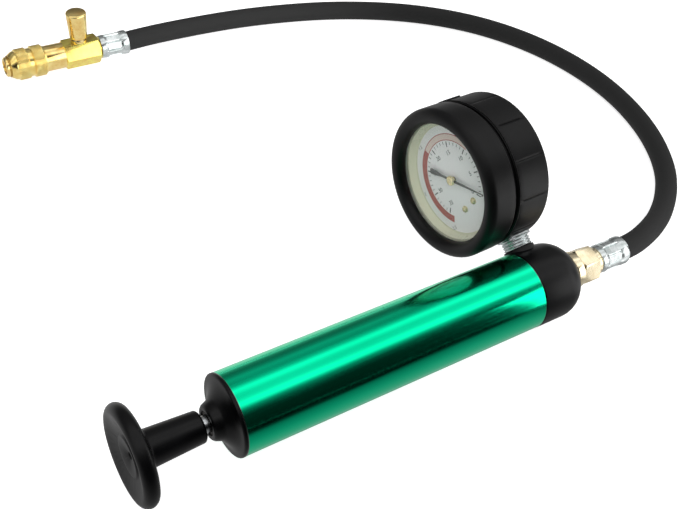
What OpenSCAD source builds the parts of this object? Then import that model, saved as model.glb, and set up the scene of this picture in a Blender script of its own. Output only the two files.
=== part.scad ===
// Radiator pressure tester: a hand pump with a round knob, a dial gauge on the pump's
// head, and a short hose that ends in a quick coupler with a bleed button.
// Millimetres. The pump lies on the table (z = 0) on its knob and its head, with the
// gauge leaning over behind it, and the hose lies on the table behind both.

/* [Barrel] */
// Outside diameter of the barrel tube
barrel_d = 38; // [34:0.5:44]
// Wall of the barrel tube
barrel_wall = 2; // [1.2:0.1:3]
// Length of tube that shows between the two caps
barrel_len = 161.3; // [130:0.1:220]
// How far both caps stand proud of the tube, on the radius
cap_proud = 0.1; // [0:0.1:1.5]
// Gap between the tube's bore and the spigots of the caps
spigot_fit = 0.05; // [0.02:0.01:0.3]

/* [End cap] */
// Thickness of the flange that closes the tube
flange_t = 1.5; // [1.5:0.1:5]
// Length of the hollow-sided cone behind the flange
cone_len = 4; // [3:0.1:9]
// Diameter of the neck where it leaves the cone
neck_d = 18.8; // [17:0.1:24]
// Diameter of the neck at its mouth
neck_mouth_d = 15.2; // [14.5:0.1:17]
// Length of the neck
neck_len = 3.8; // [3:0.1:12]
// Length of the end cap's spigot inside the tube
end_spigot = 12; // [8:0.5:20]

/* [Plunger] */
// Diameter of the steel rod
rod_d = 8; // [6:0.5:10]
// Running gap between the rod and its bush, on the radius
rod_fit = 0.05; // [0.02:0.01:0.1]
// Wall of the rod's bush
bush_wall = 1.5; // [1:0.1:2]
// Thickness of the bush's flange inside the tube
bush_flange_t = 1.5; // [1:0.1:3]
// Diameter of the knob's disc
knob_d = 45.5; // [42:0.5:60]
// Thickness of the disc at its rim
knob_t = 7; // [5:0.5:12]
// How far the disc's back rises from its rim to the spindle
knob_cone = 1.5; // [0.5:0.1:4]
// Diameter of the knob's spindle at its free end
spindle_d = 14.4; // [12:0.1:15]
// Diameter of the spindle where it grows out of the disc
spindle_root_d = 16.6; // [15:0.1:20]
// Length of the spindle
spindle_len = 26; // [20:0.1:40]
// Gap that shows the rod between spindle and end cap
knob_gap = 2.8; // [0.6:0.1:4]
// Depth of the rod in the spindle
rod_grip = 20; // [10:0.5:22]
// Diameter of the rod's threaded end, in the piston
stud_d = 6; // [4:0.5:6]

/* [Piston] */
// Length of the piston block
piston_len = 12; // [8:0.5:20]
// Gap between the piston block and the bore, on the radius
piston_gap = 0.4; // [0.2:0.05:0.8]
// Length of the cup seal's lip
cup_len = 7; // [5:0.5:12]
// Thickness of the cup seal
cup_t = 1.8; // [1:0.1:3]
// Running gap between the cup seal and the bore, on the radius
cup_fit = 0.05; // [0.02:0.01:0.1]
// Thickness of the washer under the piston nut
washer_t = 1.2; // [0.8:0.1:2]
// Thickness of the piston nut
piston_nut_t = 4; // [3:0.1:5]
// Width across the flats of the piston nut
piston_nut_af = 10; // [9:0.5:13]
// Free space between the rod's tip and the head, with the knob at rest
piston_rest_gap = 1.6; // [1:0.1:4]

/* [Head] */
// Length of the head beyond the tube
head_len = 29.5; // [29:0.5:45]
// Radius of the head's round shoulder
head_round = 13.5; // [8:0.5:13.5]
// Length of the head's spigot inside the tube
head_spigot = 14; // [12:0.5:20]
// Section of the head's sealing ring
ring_d = 2.4; // [1.6:0.1:3]
// Diameter of the air passages
passage_d = 4; // [2.5:0.1:4.5]
// Outside diameter of the boss that carries the gauge
boss_d = 15.5; // [15:0.5:20]
// How far the boss stands out of the head
boss_h = 0.9; // [0.4:0.1:3]

/* [Check valve] */
// Diameter of the valve's ball
ball_d = 6; // [5:0.1:6.4]
// Lift of the ball
ball_lift = 1.2; // [0.6:0.1:1.6]
// Outside diameter of the valve seat
seat_d = 12; // [10:0.5:13]
// Thickness of the valve seat
seat_t = 5; // [3:0.5:6]
// Gap between a fixed insert and its bore, on the radius
insert_fit = 0.05; // [0.02:0.01:0.1]

/* [Gauge] */
// Angle of the gauge's stem above the table
gauge_lean = 37.8; // [30:0.1:80]
// Distance from the pump's axis to the middle of the dial
gauge_reach = 63.2; // [61:0.1:75]
// Distance of the stem beyond the end of the tube
stem_s = 9.4; // [7.5:0.1:12]
// Angle that the stem tips towards the knob
gauge_tip = 2; // [0:0.1:3]
// Angle that the gauge is turned round its stem, its face away from the pump
gauge_turn = 3.7; // [0:0.1:5]
// Outside diameter of the gauge's steel case
case_d = 63; // [61:0.5:68]
// Sheet thickness of the case
case_wall = 0.8; // [0.5:0.1:1.5]
// Depth of the case behind the dial
case_depth = 25.2; // [25:0.1:30]
// Depth from the window down to the dial
dial_depth = 4; // [3:0.1:7]
// Thickness of the window
lens_t = 1.6; // [1:0.1:2.5]
// How far the boot's front lip laps over the case's edge
lip_lap = 1.7; // [1:0.1:4]
// Thickness of the rubber boot over the case
boot_wall = 6.1; // [4:0.1:8]
// Length of the boot's smooth front bead
bead_len = 12; // [9:0.5:16]
// Width of the groove behind the bead
groove_w = 2; // [1:0.1:4]
// Depth of the groove behind the bead
groove_h = 2; // [0.5:0.1:3]
// Number of flat panels round the boot's sleeve
boot_panels = 12; // [8:1:18]
// Diameter of the gauge's stem thread
stem_d = 13.2; // [12:0.1:13.4]
// Width of the square on the gauge's socket
socket_w = 12; // [11:0.1:13]

/* [Movement] */
// Number of teeth that the sector would have as a full wheel
sector_teeth = 60; // [52:4:60]
// Number of teeth on the pinion
pinion_teeth = 8; // [8:1:10]
// Tooth module of sector and pinion
gear_module = 0.5; // [0.45:0.01:0.5]
// Radius of the pressure element's middle line
tube_r = 24; // [23:0.5:25]
// Width of the pressure element along the gauge's axis
tube_w = 9; // [6:0.5:10]
// Thickness of the pressure element
tube_t = 2.6; // [2:0.1:3.5]
// Turn of the needle at rest, from the top of the dial
needle_turn = 128; // [0:1:359]
// Length of the needle from its hub
needle_len = 22; // [18:0.5:24]
// Length of the needle's tail
tail_len = 14; // [8:0.5:18]

/* [Outlet] */
// Width across the flats of the swivel nut
nut_af = 17; // [16:0.5:22]
// Length of the nut's hexagon
nut_len = 10.6; // [10:0.1:18]
// Length of the nut's round neck behind its hexagon
nut_neck = 3.4; // [1:0.1:6]
// Diameter of the nut's neck
nut_neck_d = 14.8; // [13:0.1:16]
// Diameter of the nut's round collar
collar_d = 18.8; // [16:0.1:22]
// Thickness of the nut's collar
collar_t = 5.4; // [3:0.1:8]
// Diameter of the outlet nipple
nipple_d = 9.6; // [9:0.1:10]

/* [Hose] */
// Outside diameter of the hose
hose_d = 12.3; // [10:0.1:13]
// Bore of the hose
hose_bore = 6; // [5:0.5:7]
// Wall of the two crimped ferrules
ferrule_wall = 1.2; // [0.8:0.1:2]
// Length of the ferrules
ferrule_len = 18; // [14:0.5:24]
// Number of flutes that the crimping tool leaves on a ferrule
crimps = 8; // [6:1:12]

/* [Coupler] */
// Bore of the coupler's mouth
mouth_d = 8.4; // [7.6:0.1:8.6]
// Outside diameter of the coupler's nose
nose_d = 12.4; // [12:0.1:12.8]
// Outside diameter of the coupler's plain body
body_d = 16; // [15.5:0.1:16.4]
// Outside diameter of the sleeve's knurled bands
sleeve_d = 19.2; // [18.6:0.1:22]
// Length of the sleeve
sleeve_len = 22; // [20:0.1:26]
// Travel of the sleeve
sleeve_travel = 3.4; // [2:0.1:3.5]
// Running gap of the sleeve on the body, on the radius
sleeve_fit = 0.08; // [0.03:0.01:0.1]
// Number of knurls round each band
knurls = 44; // [24:2:60]
// Length of plain body that shows behind the sleeve
body_show = 12; // [8:0.5:20]
// Width across the flats of the coupler's hexagon
hex_af = 16; // [15:0.5:18]
// Length of the coupler's hexagon
hex_len = 22.2; // [20:0.1:30]
// Number of locking balls
lock_balls = 6; // [4:1:6]
// Diameter of the locking balls
lock_ball_d = 1.8; // [1.4:0.1:1.8]
// Travel of the coupler's poppet
poppet_travel = 1.5; // [1:0.1:2]

/* [Bleed button] */
// Diameter of the button at its top
button_d = 12.6; // [10:0.1:14]
// Diameter of the button at its foot
button_foot_d = 10.8; // [9.6:0.1:12]
// Height of the button
button_h = 17.4; // [12:0.1:24]
// Travel of the button
button_travel = 1; // [0.5:0.1:1.5]
// Diameter of the button's stem
button_stem_d = 4; // [3:0.1:4.4]
// Running gap round the button's stem, on the radius
button_fit = 0.05; // [0.02:0.01:0.1]

/* [Hidden] */
$fn = 64;

black_plastic = "#17181a";
rubber = "#1c1c1d";
anodised_green = "#0f9f72";
steel = "#c9ccd0";
brass = "#c9a246";
nickel = "#d9cdb0";
chrome = "#d4d6d8";
dial_white = "#e9e9e4";

// Radii and places along the pump's axis, where s = 0 is the outlet end of the tube
bore_r = barrel_d / 2 - barrel_wall;
head_r = barrel_d / 2 + cap_proud;
flange_s = -barrel_len - flange_t;
neck_s = flange_s - cone_len;
mouth_s = neck_s - neck_len;
spindle_s = mouth_s - knob_gap;
disc_s = spindle_s - spindle_len;
rim_s = disc_s - knob_cone - knob_t / 2;
face_s = disc_s - knob_cone - knob_t;
rod_tip_s = -head_spigot - piston_rest_gap;
nut_s = rod_tip_s - piston_nut_t - 0.5;
washer_s = nut_s - washer_t;
cup_s = washer_s - cup_t;
piston_s = cup_s - piston_len;
bush_r = rod_d / 2 + rod_fit + bush_wall;

// The head: check valve, gauge port and outlet port
pocket_s = -head_spigot + seat_t;
ball_r = ball_d / 2;
seat_hole_r = ball_r * 0.72;
ball_s = pocket_s + sqrt(ball_r * ball_r - seat_hole_r * seat_hole_r) + 0.02;
pocket_end_s = ball_s + ball_r + ball_lift + 2.5;
spring_hole_r = ball_r * 0.6;
shoulder_s = head_len - head_round;
port_floor = 9.5;
outlet_floor_s = head_len - 11;

// How the pump lies: on the rim of the knob and on the head's shoulder
tilt = asin((knob_d / 2 - head_r) / (shoulder_s - rim_s));
axis_z = head_r * cos(tilt) + shoulder_s * sin(tilt);

// The gauge, in its own frame: x away from the pump, z to its back, from the dial's face
boot_r = case_d / 2 + boot_wall;
opening_r = case_d / 2 - lip_lap;
dial_t = 0.6;
dial_s = -9.8;
lens_s = dial_s - dial_depth;
lip_t = 1.7;
bead_r = (boot_r - opening_r) / 2;
bead_s = lens_s - lens_t - lip_t + 0.7;
case_back_s = dial_s + case_depth;
back_lip_t = 3;
boot_back_s = case_back_s + back_lip_t;
sector_r = sector_teeth * gear_module / 2;
pinion_r = pinion_teeth * gear_module / 2;
gear_gap = 0.06;
gear_far = sector_r + pinion_r + gear_gap;
gear_way = 60;
front_plate_s = dial_s + 3;
back_plate_s = front_plate_s + 7;
gear_s = front_plate_s + 3;
gear_t = 1;
plate_t = 0.8;
arbor_r = 0.6;
pivot_r = 1;
block_top = -tube_r + 6;
block_w = 12.8;
block_t = tube_w + 1;

// The outlet beyond the head
collar_s = head_len + 0.1;
hex_s = collar_s + collar_t;
hex_end_s = hex_s + nut_len;
cone_s = hex_s + 8;
ferrule_r = hose_d / 2 + ferrule_wall;
pump_ferrule_s = hex_end_s + nut_neck + 0.1;
exit_s = pump_ferrule_s + ferrule_len;
tail_r = hose_bore / 2;

// Where the pump lies in the frame: the middle of its box is over the origin
gauge_y = gauge_reach * cos(gauge_lean);
frame_x = -(exit_s + face_s) / 2;
frame_y = -(gauge_y + boot_r - knob_d / 2) / 2;

// The coupler, with t = 0 at its nose and its axis along its own z
coupler_turn = -2.9;
coupler_z = sleeve_d / 2;
sleeve_t = 2.9;
clip_t = sleeve_t - 0.7;
body_t = 15.5;
recess_t = sleeve_t + 6.6;
ball_t = 5.9;
hex_t = sleeve_t + sleeve_len + body_show;
hex_end_t = hex_t + hex_len;
far_ferrule_t = hex_end_t + 1.2;
far_exit_t = far_ferrule_t + ferrule_len;
seal_t = 10;
seal_r = 0.7;
seat_wall_t = 12.5;
poppet_t = 14;
poppet_r = 3;
chamber_r = 4;
body_tail = 6;
button_t = hex_t + 10.8;
button_z = 2.6;
far_exit = [exit_s * cos(tilt) - 137.7, 309.8];
nose = far_exit - far_exit_t * [cos(coupler_turn), sin(coupler_turn)];

// The hose's route: from the pump's ferrule to the coupler's, as [x, y] from the outlet
// and a height between the table (0) and the ferrule nearest to it (1)
rest_z = hose_d / 2 + 0.1;
exit_x = exit_s * cos(tilt);
exit_z = axis_z - exit_s * sin(tilt);
away = [
    [0, 0, 1], [5, 0, 0.99], [11, 0.5, 0.97], [19, 2.6, 0.9], [30.1, 6.7, 0.72],
    [42.1, 12.3, 0.48], [54.2, 19.3, 0.24], [66.6, 27.9, 0.07], [78.7, 38.4, 0.01]
];
flat = [
    [88.6, 50], [97.3, 63.7], [105, 79.2], [111.1, 96.6], [115.3, 115.2], [117.2, 134.7],
    [116.6, 154.5], [113.4, 174.8], [107.6, 194.5], [99.2, 213.4], [88.2, 231.3], [74.4, 247.5],
    [58.6, 261.7], [41.5, 273.8], [22.7, 284.2], [2.9, 293.1], [-17.7, 300], [-38.7, 305.6],
    [-59.5, 309.8]
];
back = [
    [-79.9, 312.3, 0.03], [-99.7, 312.9, 0.25], [-117.6, 311.6, 0.7], [-129.8, 310.3, 0.95],
    [-137.7, 309.8, 1]
];
route = concat(
    [for (p = away) [exit_x + p[0], p[1], rest_z + p[2] * (exit_z - rest_z)]],
    [for (p = flat) [exit_x + p[0], p[1], rest_z]],
    [for (p = back) [exit_x + p[0], p[1], rest_z + p[2] * (coupler_z - rest_z)]]
);
hose_sides = 10;

// --- helpers ---------------------------------------------------------------

// An arc as a list of points, from angle a to angle b about [x, y]
function arc(x, y, r, a, b, n = 6) =
    [for (i = [0:n]) let(w = a + (b - a) * i / n) [x + r * cos(w), y + r * sin(w)]];

// Puts a piece made about +z on the pump's axis
module on_pump()
    translate([frame_x, frame_y, axis_z]) rotate([0, 90 + tilt, 0]) children();

// Turns the pump's frame to the gauge's stem, with x along the stem
module to_stem()
    rotate([0, 0, 90 + gauge_lean]) translate([0, 0, stem_s]) rotate([0, gauge_tip, 0]) children();

// Puts a piece in the gauge's frame
module on_gauge()
    on_pump() to_stem() translate([gauge_reach, 0, 0])
        rotate([gauge_turn, 0, 0]) translate([0, 0, -stem_s]) children();

// Puts a piece made about +z on the coupler's axis, where -x is up
module on_coupler()
    translate([frame_x + nose[0], frame_y + nose[1], coupler_z])
    rotate([0, 0, coupler_turn]) rotate([0, 90, 0]) children();

module tube(r_out, r_in, a, b) {
    translate([0, 0, a]) difference() {
        cylinder(r = r_out, h = b - a);
        translate([0, 0, -1]) cylinder(r = r_in, h = b - a + 2);
    }
}

module rod(r, a, b) translate([0, 0, a]) cylinder(r = r, h = b - a);

module ring(r_mid, r_section, s)
    translate([0, 0, s]) rotate_extrude() translate([r_mid, 0]) circle(r = r_section, $fn = 24);

// A hexagonal bar whose ends are turned down by the chamfer c
module hexagon(af, a, b, c) {
    tip = af / 2 / cos(30);
    intersection() {
        translate([0, 0, a]) rotate([0, 0, 30]) cylinder(r = tip, h = b - a, $fn = 6);
        rotate_extrude() polygon([
            [0, a], [tip - c, a], [tip, a + c * 0.58], [tip, b - c * 0.58], [tip - c, b], [0, b]
        ]);
    }
}

// --- pump ------------------------------------------------------------------

module barrel() {
    edge = 0.4;
    color(anodised_green) on_pump() rotate_extrude() polygon([
        [bore_r, -barrel_len], [barrel_d / 2 - edge, -barrel_len],
        [barrel_d / 2, -barrel_len + edge], [barrel_d / 2, -edge],
        [barrel_d / 2 - edge, 0], [bore_r, 0]
    ]);
}

module end_cap() {
    rim_round = 1.2;
    spigot_r = bore_r - spigot_fit;
    hollow_r = bush_r + insert_fit;
    color(black_plastic) on_pump() rotate_extrude() polygon(concat(
        [[hollow_r, end_spigot - barrel_len], [spigot_r, end_spigot - barrel_len],
         [spigot_r, -barrel_len], [head_r, -barrel_len]],
        arc(head_r - rim_round, flange_s + rim_round, rim_round, 0, -90, 4),
        // the cone's side is hollow, so its slope grows towards the flange
        [for (i = [1:6]) let(w = i / 6, d = head_r - rim_round - neck_d / 2)
            [head_r - rim_round - d * w, flange_s - cone_len * w * w]],
        [[neck_mouth_d / 2 + 0.6, mouth_s + 0.8], [neck_mouth_d / 2 - 0.2, mouth_s],
         [hollow_r, mouth_s]]
    ));
}

module rod_bush() {
    color(brass) on_pump() {
        tube(bush_r, rod_d / 2 + rod_fit, mouth_s + 0.6, end_spigot - barrel_len);
        tube(bush_r + 3, rod_d / 2 + rod_fit, end_spigot - barrel_len,
            end_spigot - barrel_len + bush_flange_t);
    }
}

module plunger_rod() {
    color(steel) on_pump() {
        rod(rod_d / 2, spindle_s - rod_grip, piston_s);
        rod(stud_d / 2, piston_s, rod_tip_s);
    }
}

module knob() {
    disc_r = knob_d / 2;
    rim_r = knob_t / 2;
    hub_ring = 9;
    edge = 0.8;
    blend = 3;
    color(black_plastic) on_pump() difference() {
        rotate_extrude() polygon(concat(
            [[0, spindle_s], [spindle_d / 2 - edge, spindle_s],
             [spindle_d / 2, spindle_s - edge]],
            arc(spindle_root_d / 2 + blend, disc_s + blend, blend, 180, 270, 4),
            [[disc_r - rim_r - 3, disc_s - knob_cone * 0.8]],
            arc(disc_r - rim_r, rim_s, rim_r, 75, -90, 12),
            // a shallow dish with a raised ring round the middle
            [[disc_r - rim_r - 2, face_s + 0.5], [hub_ring + 1, face_s + 2.4],
             [hub_ring, face_s + 1.6], [hub_ring - 2, face_s + 1.9], [0, face_s + 3.4]]
        ));
        rod(rod_d / 2 + insert_fit, spindle_s - rod_grip - 0.5, spindle_s + 1);
        rod(1.6, face_s - 1, face_s + 5);
    }
}

module piston() {
    color("#d8d6cc") on_pump() difference() {
        tube(bore_r - piston_gap, stud_d / 2 + insert_fit, piston_s, cup_s);
        tube(bore_r, bore_r - piston_gap - 1.2, piston_s + 3, piston_s + 6);
    }
}

module cup_seal() {
    lip_r = bore_r - cup_fit;
    color(rubber) on_pump() rotate_extrude() polygon([
        [stud_d / 2 + insert_fit, cup_s], [lip_r - 1, cup_s], [lip_r, cup_s + 1],
        [lip_r, cup_s + cup_len], [lip_r - cup_t * 0.6, cup_s + cup_len],
        [lip_r - cup_t, cup_s + cup_t + 1], [lip_r - cup_t - 1, cup_s + cup_t],
        [stud_d / 2 + insert_fit, cup_s + cup_t]
    ]);
}

module piston_washer()
    color(steel) on_pump()
        tube(bore_r - cup_t - 3, stud_d / 2 + insert_fit, washer_s, nut_s);

module piston_nut()
    color(steel) on_pump() difference() {
        hexagon(piston_nut_af, nut_s, nut_s + piston_nut_t, 0.5);
        rod(stud_d / 2 + 0.01, nut_s - 1, rod_tip_s + 1);
    }

module head_cap() {
    groove_s = -head_spigot / 2;
    spigot_r = bore_r - spigot_fit;
    edge = 0.4;
    color(black_plastic) on_pump() difference() {
        union() {
            rotate_extrude() polygon(concat(
                [[0, -head_spigot], [spigot_r, -head_spigot], [spigot_r, 0],
                 [head_r - edge, 0], [head_r, edge]],
                arc(head_r - head_round, shoulder_s, head_round, 0, 90, 10),
                [[0, head_len]]
            ));
            to_stem() translate([head_r - 8, 0, 0])
                rotate([0, 90, 0]) cylinder(d = boss_d, h = 8 + boss_h);
        }
        // groove of the sealing ring
        tube(bore_r + 1, bore_r - ring_d - 0.04, groove_s - ring_d * 0.6, groove_s + ring_d * 0.6);
        rod(seat_d / 2 + insert_fit, -head_spigot - 1, pocket_s);
        rod(ball_r + 0.5, pocket_s - 1, pocket_end_s);
        rod(passage_d / 2, pocket_end_s - 1, head_len + 1);
        rod(nipple_d / 2 + insert_fit, outlet_floor_s, head_len + 1);
        to_stem() rotate([0, 90, 0]) {
            cylinder(d = passage_d, h = port_floor + 1);
            translate([0, 0, port_floor]) cylinder(r = stem_d / 2 + insert_fit, h = head_r);
        }
    }
}

module head_ring()
    color(rubber) on_pump()
        ring(bore_r - ring_d / 2 - 0.02, ring_d / 2, -head_spigot / 2);

module valve_seat()
    color(brass) on_pump()
        tube(seat_d / 2, seat_hole_r, -head_spigot, pocket_s);

module valve_ball()
    color(steel) on_pump() translate([0, 0, ball_s]) sphere(r = ball_r);

module valve_spring()
    color(steel) on_pump() {
        low = ball_s + sqrt(ball_r * ball_r - spring_hole_r * spring_hole_r) + ball_lift;
        tube(spring_hole_r + 0.5, spring_hole_r, low + 0.1, pocket_end_s);
    }

// --- gauge -----------------------------------------------------------------

// Hole through a wall of the gauge for the socket's square, with a gap round it
module square_hole(r, gap) {
    w = socket_w + 2 * gap;
    translate([-r - 2, -w / 2, stem_s - w / 2]) cube([r, w, w]);
}

module gauge_boot() {
    back_r = boot_r - 0.6;
    hollow_r = case_d / 2 + 0.1;
    groove_s = bead_s + bead_len;
    groove_r = boot_r - groove_h;
    panel_h = 0.5;
    color(rubber) on_gauge() difference() {
        rotate_extrude($fn = 96) polygon(concat(
            // from the window out round the front bead, then back along the sleeve
            [[hollow_r, lens_s - lens_t - 0.1], [opening_r, lens_s - lens_t - 0.1]],
            arc(opening_r + bead_r, bead_s, bead_r, 180, 360, 12),
            [[boot_r, groove_s - 1.6], [boot_r - 0.8, groove_s - 0.4], [groove_r, groove_s],
             [groove_r, groove_s + groove_w], [back_r, groove_s + groove_w + 0.2]],
            arc(back_r - 2.6, boot_back_s - 2.6, 2.6, 0, 90, 5),
            [[case_d / 2 - 5, boot_back_s], [case_d / 2 - 5, case_back_s + 0.1],
             [hollow_r, case_back_s + 0.1]]
        ));
        // lines between the sleeve's panels
        for (i = [0:boot_panels - 1]) rotate([0, 0, (i + 0.5) * 360 / boot_panels])
            translate([back_r - panel_h, -0.35, groove_s + groove_w + 2])
                cube([2, 0.7, boot_back_s - groove_s - groove_w - 6]);
        square_hole(boot_r, 0.3);
    }
}

module gauge_case() {
    r = case_d / 2;
    front_s = lens_s - lens_t;
    color(steel) on_gauge() difference() {
        rotate_extrude($fn = 96) polygon([
            [r, front_s], [r, case_back_s - 1], [r - 1, case_back_s], [0, case_back_s],
            [0, case_back_s - case_wall], [r - 1.3, case_back_s - case_wall],
            [r - case_wall, case_back_s - case_wall - 0.5], [r - case_wall, front_s]
        ]);
        square_hole(r, 0.1);
    }
}

module gauge_lens()
    color("#dfe9ea", 0.3) on_gauge()
        rod(case_d / 2 - case_wall - insert_fit, lens_s - lens_t, lens_s);

module lens_spacer() {
    r = case_d / 2 - case_wall - insert_fit;
    color("#e8e6cd") on_gauge() rotate_extrude($fn = 96) polygon([
        [r, lens_s], [r, dial_s], [opening_r - 1.6, dial_s],
        [opening_r - 1.3, dial_s - 0.8], [opening_r - 0.4, lens_s]
    ]);
}

module gauge_dial() {
    r = case_d / 2 - case_wall - insert_fit;
    color(dial_white) on_gauge() difference() {
        rod(r, dial_s, dial_s + dial_t);
        rod(arbor_r + 0.9, dial_s - 1, dial_s + dial_t + 1);
        at_dial_screws() rod(1.1, dial_s - 1, dial_s + dial_t + 1);
    }
}

// The two dial screws sit either side of the stem's line
module at_dial_screws()
    for (w = [152, 184]) rotate([0, 0, w]) translate([15.4, 0, 0]) children();

module dial_screws()
    color(brass) on_gauge() at_dial_screws() {
        rod(1.5, dial_s - 0.8, dial_s);
        rod(1.0, dial_s, front_plate_s);
    }

module gauge_needle() {
    hub_r = 2.1;
    blade_s = dial_s - 1.7;
    blade_t = 0.4;
    color("#1b1b1b") on_gauge() rotate([0, 0, needle_turn]) {
        translate([0, 0, blade_s]) linear_extrude(blade_t) difference() {
            union() {
                polygon([[0, -0.9], [needle_len, -0.15], [needle_len, 0.15], [0, 0.9]]);
                polygon([[0, 0.6], [-6, 0.7], [-tail_len, 1.5], [-tail_len, -1.5],
                    [-6, -0.7], [0, -0.6]]);
            }
            circle(r = arbor_r + 0.02);
        }
        tube(hub_r, arbor_r + 0.02, blade_s - 0.9, blade_s);
        tube(hub_r * 0.7, arbor_r + 0.02, blade_s + blade_t, dial_s - 0.4);
    }
}

// One gear tooth about the x axis: root, flank and tip widths as shares of the pitch
module tooth(r, m) {
    root = r - 1.15 * m;
    tip = r + 0.75 * m;
    polygon([
        [root - 0.2, -0.62 * m], [r - 0.5 * m, -0.60 * m], [r, -0.52 * m],
        [r + 0.4 * m, -0.36 * m], [tip, -0.16 * m], [tip, 0.16 * m],
        [r + 0.4 * m, 0.36 * m], [r, 0.52 * m], [r - 0.5 * m, 0.60 * m], [root - 0.2, 0.62 * m]
    ]);
}

module needle_arbor() {
    color(steel) on_gauge() rotate([0, 0, needle_turn]) {
        rod(arbor_r, dial_s - 2.6, back_plate_s + plate_t);
        translate([0, 0, gear_s - 0.4]) linear_extrude(gear_t + 0.8) {
            circle(r = pinion_r - 1.15 * gear_module, $fn = 32);
            for (i = [0:pinion_teeth - 1])
                rotate([0, 0, gear_way - needle_turn + (i + 0.5) * 360 / pinion_teeth])
                    tooth(pinion_r, gear_module);
        }
    }
}

// The sector swings about a pivot at gear_far from the needle's axis
module at_sector()
    rotate([0, 0, gear_way]) translate([gear_far, 0, 0]) rotate([0, 0, 180]) children();

sector_rest = -18;
sector_half = 25;
tail_pin_r = 7;

module sector_gear() {
    step = 360 / sector_teeth;
    root = sector_r - 1.15 * gear_module;
    side = floor(sector_half / step);
    color(brass) on_gauge() at_sector() rotate([0, 0, sector_rest]) {
        translate([0, 0, gear_s]) linear_extrude(gear_t) difference() {
            union() {
                intersection() {
                    circle(r = root);
                    polygon([[0, 0], [root * 1.2, -root * 1.2 * tan(sector_half + 1.5)],
                        [root * 1.2, root * 1.2 * tan(sector_half + 1.5)]]);
                }
                circle(r = 2.6);
                translate([-tail_pin_r - 1.2, -1.2]) square([tail_pin_r + 1.2, 2.4]);
                for (i = [-side:side]) rotate([0, 0, i * step]) tooth(sector_r, gear_module);
            }
            // window that lightens the sector
            intersection() {
                difference() { circle(r = root - 2); circle(r = 5); }
                polygon([[0, 0], [root, -root * tan(sector_half - 9)],
                    [root, root * tan(sector_half - 9)]]);
            }
        }
        translate([-tail_pin_r, 0, 0]) rod(link_pin_r, gear_s, link_s + link_t + 0.3);
        rod(pivot_r, front_plate_s, back_plate_s + plate_t);
    }
}

module movement_plates() {
    way = [0, 0, gear_way];
    color(brass) on_gauge() {
        for (s = [front_plate_s, back_plate_s]) translate([0, 0, s]) difference() {
            linear_extrude(plate_t) difference() {
                union() {
                    hull() {
                        circle(r = 5, $fn = 32);
                        rotate(way) translate([gear_far, 0]) circle(r = 4, $fn = 32);
                    }
                    hull() {
                        circle(r = 5, $fn = 32);
                        translate([block_top, 0]) square([4, 14], center = true);
                    }
                }
                circle(r = arbor_r + 0.05);
                rotate(way) translate([gear_far, 0]) circle(r = pivot_r + 0.05);
                at_dial_screws() circle(r = 1.05);
            }
        }
        // pillars between the plates, and the stud of the hairspring's outer end
        for (y = [-5, 5]) translate([block_top, y, 0])
            rod(1.2, front_plate_s + plate_t, back_plate_s);
        translate([spring_out_r + 0.4, 0, 0]) rod(0.35, spring_s, back_plate_s);
    }
}

spring_coils = 4;
spring_in_r = arbor_r + 0.4;
spring_out_r = 3.4;
spring_s = back_plate_s - 1;
function spiral(a, w) =
    let(r = spring_in_r + (spring_out_r - spring_in_r) * a / (360 * spring_coils) + w)
    [r * cos(a), r * sin(a)];

module hairspring() {
    step = 22.5;
    last = 360 * spring_coils;
    color(steel) on_gauge() translate([0, 0, spring_s]) linear_extrude(0.5)
        polygon(concat([for (a = [0:step:last]) spiral(a, 0)],
            [for (a = [last:-step:0]) spiral(a, -0.12)]));
}

// A flattened tube bent round the movement from the socket to its free tip
tube_sweep = 272;
tube_start = 184;
tip_way = tube_start + tube_sweep;
module bourdon_tube() {
    color(brass) on_gauge() translate([0, 0, stem_s]) {
        rotate([0, 0, tube_start]) rotate_extrude(angle = tube_sweep)
            translate([tube_r, 0]) union() {
                square([tube_t, tube_w - tube_t], center = true);
                for (k = [-1, 1]) translate([0, k * (tube_w - tube_t) / 2])
                    circle(d = tube_t, $fn = 24);
            }
        // cap soldered on the tip, with the ear that reaches forward to the link
        rotate([0, 0, tip_way]) {
            translate([tube_r - 2.2, -0.2, -tube_w / 2 - 0.6]) cube([4.4, 3.2, tube_w + 1.2]);
            translate([tube_r - 2.2, 1.4, link_s + link_t + 0.3 - stem_s])
                cube([4.4, 1.6, stem_s - link_s - link_t - 0.3]);
        }
    }
}

// The link runs from the sector's tail pin to the ear on the tube's tip
link_s = gear_s + gear_t + 0.3;
link_t = 0.5;
link_pin_r = 0.5;
tail_pin = [for (v = [[cos(gear_way), sin(gear_way)]], a = [gear_way + sector_rest])
    gear_far * v + tail_pin_r * [cos(a), sin(a)]][0];
tip_ear = tube_r * [cos(tip_way + 5), sin(tip_way + 5)];

module bourdon_link()
    color(steel) on_gauge() translate([0, 0, link_s]) linear_extrude(link_t)
        difference() {
            hull() for (p = [tail_pin, tip_ear]) translate(p) circle(r = 1.5, $fn = 32);
            translate(tail_pin) circle(r = link_pin_r + 0.05);
        }

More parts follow.
